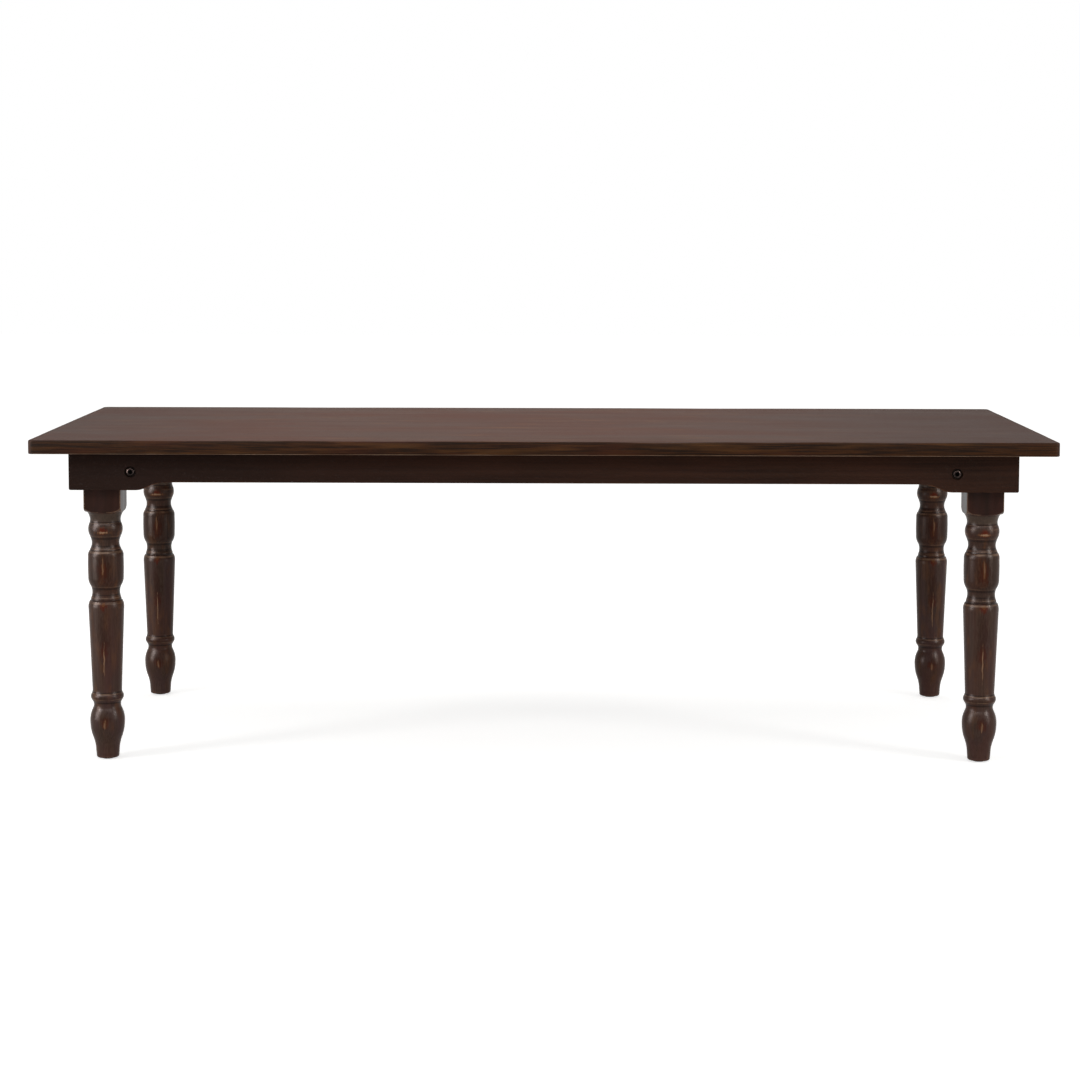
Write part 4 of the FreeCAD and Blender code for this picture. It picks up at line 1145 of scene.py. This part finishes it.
def crossNut(replaced, body):
    look = boltCraft
    low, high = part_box(replaced)
    radius, half = (high.x - low.x) / 2, (high.z - low.z) / 2
    piece = peg(replaced.replace("barrel_nut", "slotted_nut"), look["sides"], radius, -half, half)
    pick(piece, "EDGE", lambda a, b: abs(a.z - b.z) < close and abs(a.z) > half - close)
    bpy.ops.mesh.bevel(offset=look["nutChamfer"], segments=look["chamferSteps"])
    wide, deep = look["nutSlot"] / 2, look["nutSlotDepth"]
    past = clear * radius
    carve(piece, block("slot", (-past, -wide, -clear * half), (past, wide, deep - half)))
    bore = look["shank"] / 2 + look["boreGap"]
    bpy.ops.mesh.primitive_cylinder_add(vertices=look["boreSides"], radius=bore, depth=2 * past,
                                        rotation=(math.pi / 2, 0, 0))
    carve(piece, edit("bore"))
    settle(piece, (low + high) / 2, (0, 0, 0))
    finishPiece(piece, zinc, body, replaced)


for bolt in eachPart("_pivot_bolt"):
    pivotBolt(bolt, bolt.split("_")[1] + "_leg_frame", 1 if bolt.startswith("back") else -1)
for nut in eachPart("_barrel_nut"):
    crossNut(nut, nut.split("_")[1] + "_leg_frame")
print("Bolts and cross nuts set")


# Floor, background, lamps and camera

studio = {
    "floor": 20.0,              # half its side
    "floorTone": (222, 222, 220),
    "floorLift": 0.66,          # light that only the eye and reflections get
    "sky": 0.55,                # light from all round
    "seenSky": 1.0,             # what the eye and reflections get of it: white
    "lamps": [
        # name, place, aim, width, depth, watts, tint, whether it lights more than the gloss
        ("leftSoftbox", (-4.4, -2.6, 2.7), (-0.4, 0.0, 0.4), 1.0, 1.6, 66, (1, 1, 1), True),
        ("rightSoftbox", (4.4, -2.6, 2.6), (0.4, 0.0, 0.4), 1.0, 1.6, 54, (1, 1, 1), True),
        ("ceilingSoftbox", (-0.1, 0.4, 3.6), (-0.1, 0.0, 0.7), 3.0, 2.4, 36, (1, 1, 1), True),
        ("leftSheen", (-4.5, -1.9, 1.3), (-1.0, -0.4, 0.4), 1.8, 2.6, 430, (1, 0.9, 0.87), False),
        ("rightSheen", (4.4, -2.8, 1.3), (1.0, -0.4, 0.4), 0.9, 2.6, 130, (1, 0.94, 0.86), False),
        ("leftSpark", (-4.3, -2.2, 2.9), (-1.0, -0.4, 0.4), 2.6, 1.4, 400, (1, 0.9, 0.87), False),
        ("rightSpark", (4.3, -2.8, 2.9), (1.0, -0.4, 0.4), 1.6, 1.2, 250, (1, 0.92, 0.86), False),
        ("frontSheen", (-0.4, -3.6, 3.9), (-0.1, -0.4, 0.4), 5.4, 0.8, 430, (1, 0.93, 0.88), False),
    ],
}


white = (1, 1, 1, 1)


def seenDirectly(recipe):
    # 1 for rays from the eye, from a reflection or through glass
    path = recipe.node("LightPath", {}, {}, "Is Camera Ray")
    outputs = path.socket.node.outputs
    glossy = Wire(recipe, outputs["Is Glossy Ray"])
    through = Wire(recipe, outputs["Is Transmission Ray"])
    return path.most(glossy).most(through)


def layFloor():
    bpy.ops.object.select_all(action="DESELECT")
    bpy.ops.mesh.primitive_plane_add(size=2 * studio["floor"])
    floor = bpy.context.object
    floor.name = "floor"
    material = bpy.data.materials.new("pale_floor")
    material.use_nodes = True
    recipe = Recipe(material.node_tree)
    recipe.tree.nodes.remove(recipe.tree.nodes["Principled BSDF"])
    lift = seenDirectly(recipe) * studio["floorLift"]
    matt = recipe.node("BsdfDiffuse", {}, {"Color": paint(*studio["floorTone"])})
    glow = recipe.node("Emission", {}, {"Color": white, "Strength": lift})
    both = recipe.node("AddShader", {}, {0: matt, 1: glow})
    recipe.join(both, recipe.tree.nodes["Material Output"].inputs["Surface"])
    floor.data.materials.append(material)


def lightSky():
    world = bpy.data.worlds.new("studio")
    bpy.context.scene.world = world
    world.use_nodes = True
    recipe = Recipe(world.node_tree)
    strength = studio["sky"] + seenDirectly(recipe) * (studio["seenSky"] - studio["sky"])
    sky = recipe.tree.nodes["Background"]
    sky.inputs["Color"].default_value = white
    recipe.join(strength, sky.inputs["Strength"])


def hangLamps():
    for name, place, aim, width, depth, watts, tint, lightsAll in studio["lamps"]:
        lamp = bpy.data.lights.new(name, "AREA")
        lamp.shape = "RECTANGLE"
        lamp.size = width
        lamp.size_y = depth
        lamp.energy = watts
        lamp.color = tint
        holder = bpy.data.objects.new(name, lamp)
        bpy.context.scene.collection.objects.link(holder)
        holder.visible_diffuse = lightsAll
        holder.location = place
        holder.rotation_euler = (Vector(aim) - Vector(place)).to_track_quat("-Z", "Y").to_euler()


# The photograph is 1080 pixels square; the camera's turns are in degrees
camera = {
    "eye": (0.03467, -6.42149, 1.32742),
    "yaw": 0.4106,
    "pitch": 4.5348,
    "roll": 0.1165,
    "focalPixels": 2519.57,
    "photoSide": 1080,
    "axisRow": 408.98,          # row of the lens axis
    "film": 36.0,
}


def setCamera():
    lens = bpy.data.cameras.new("camera")
    lens.sensor_width = camera["film"]
    lens.lens = camera["focalPixels"] / camera["photoSide"] * camera["film"]
    lens.shift_y = camera["axisRow"] / camera["photoSide"] - 0.5
    holder = bpy.data.objects.new("camera", lens)
    bpy.context.scene.collection.objects.link(holder)
    yaw = math.radians(camera["yaw"])
    pitch = math.radians(camera["pitch"])
    roll = math.radians(camera["roll"])
    ahead = Vector((-math.sin(yaw) * math.cos(pitch), math.cos(yaw) * math.cos(pitch), -math.sin(pitch)))
    right = Vector((math.cos(yaw), math.sin(yaw), 0))
    up = right.cross(ahead)
    rolledRight = right * math.cos(roll) + up * math.sin(roll)
    rolledUp = up * math.cos(roll) - right * math.sin(roll)
    turn = Matrix((rolledRight, rolledUp, -ahead)).transposed()
    holder.matrix_world = Matrix.Translation(camera["eye"]) @ turn.to_4x4()
    bpy.context.scene.camera = holder


layFloor()
lightSky()
hangLamps()
setCamera()
bpy.context.scene.view_settings.view_transform = "Standard"
print("Floor, lamps and camera set")
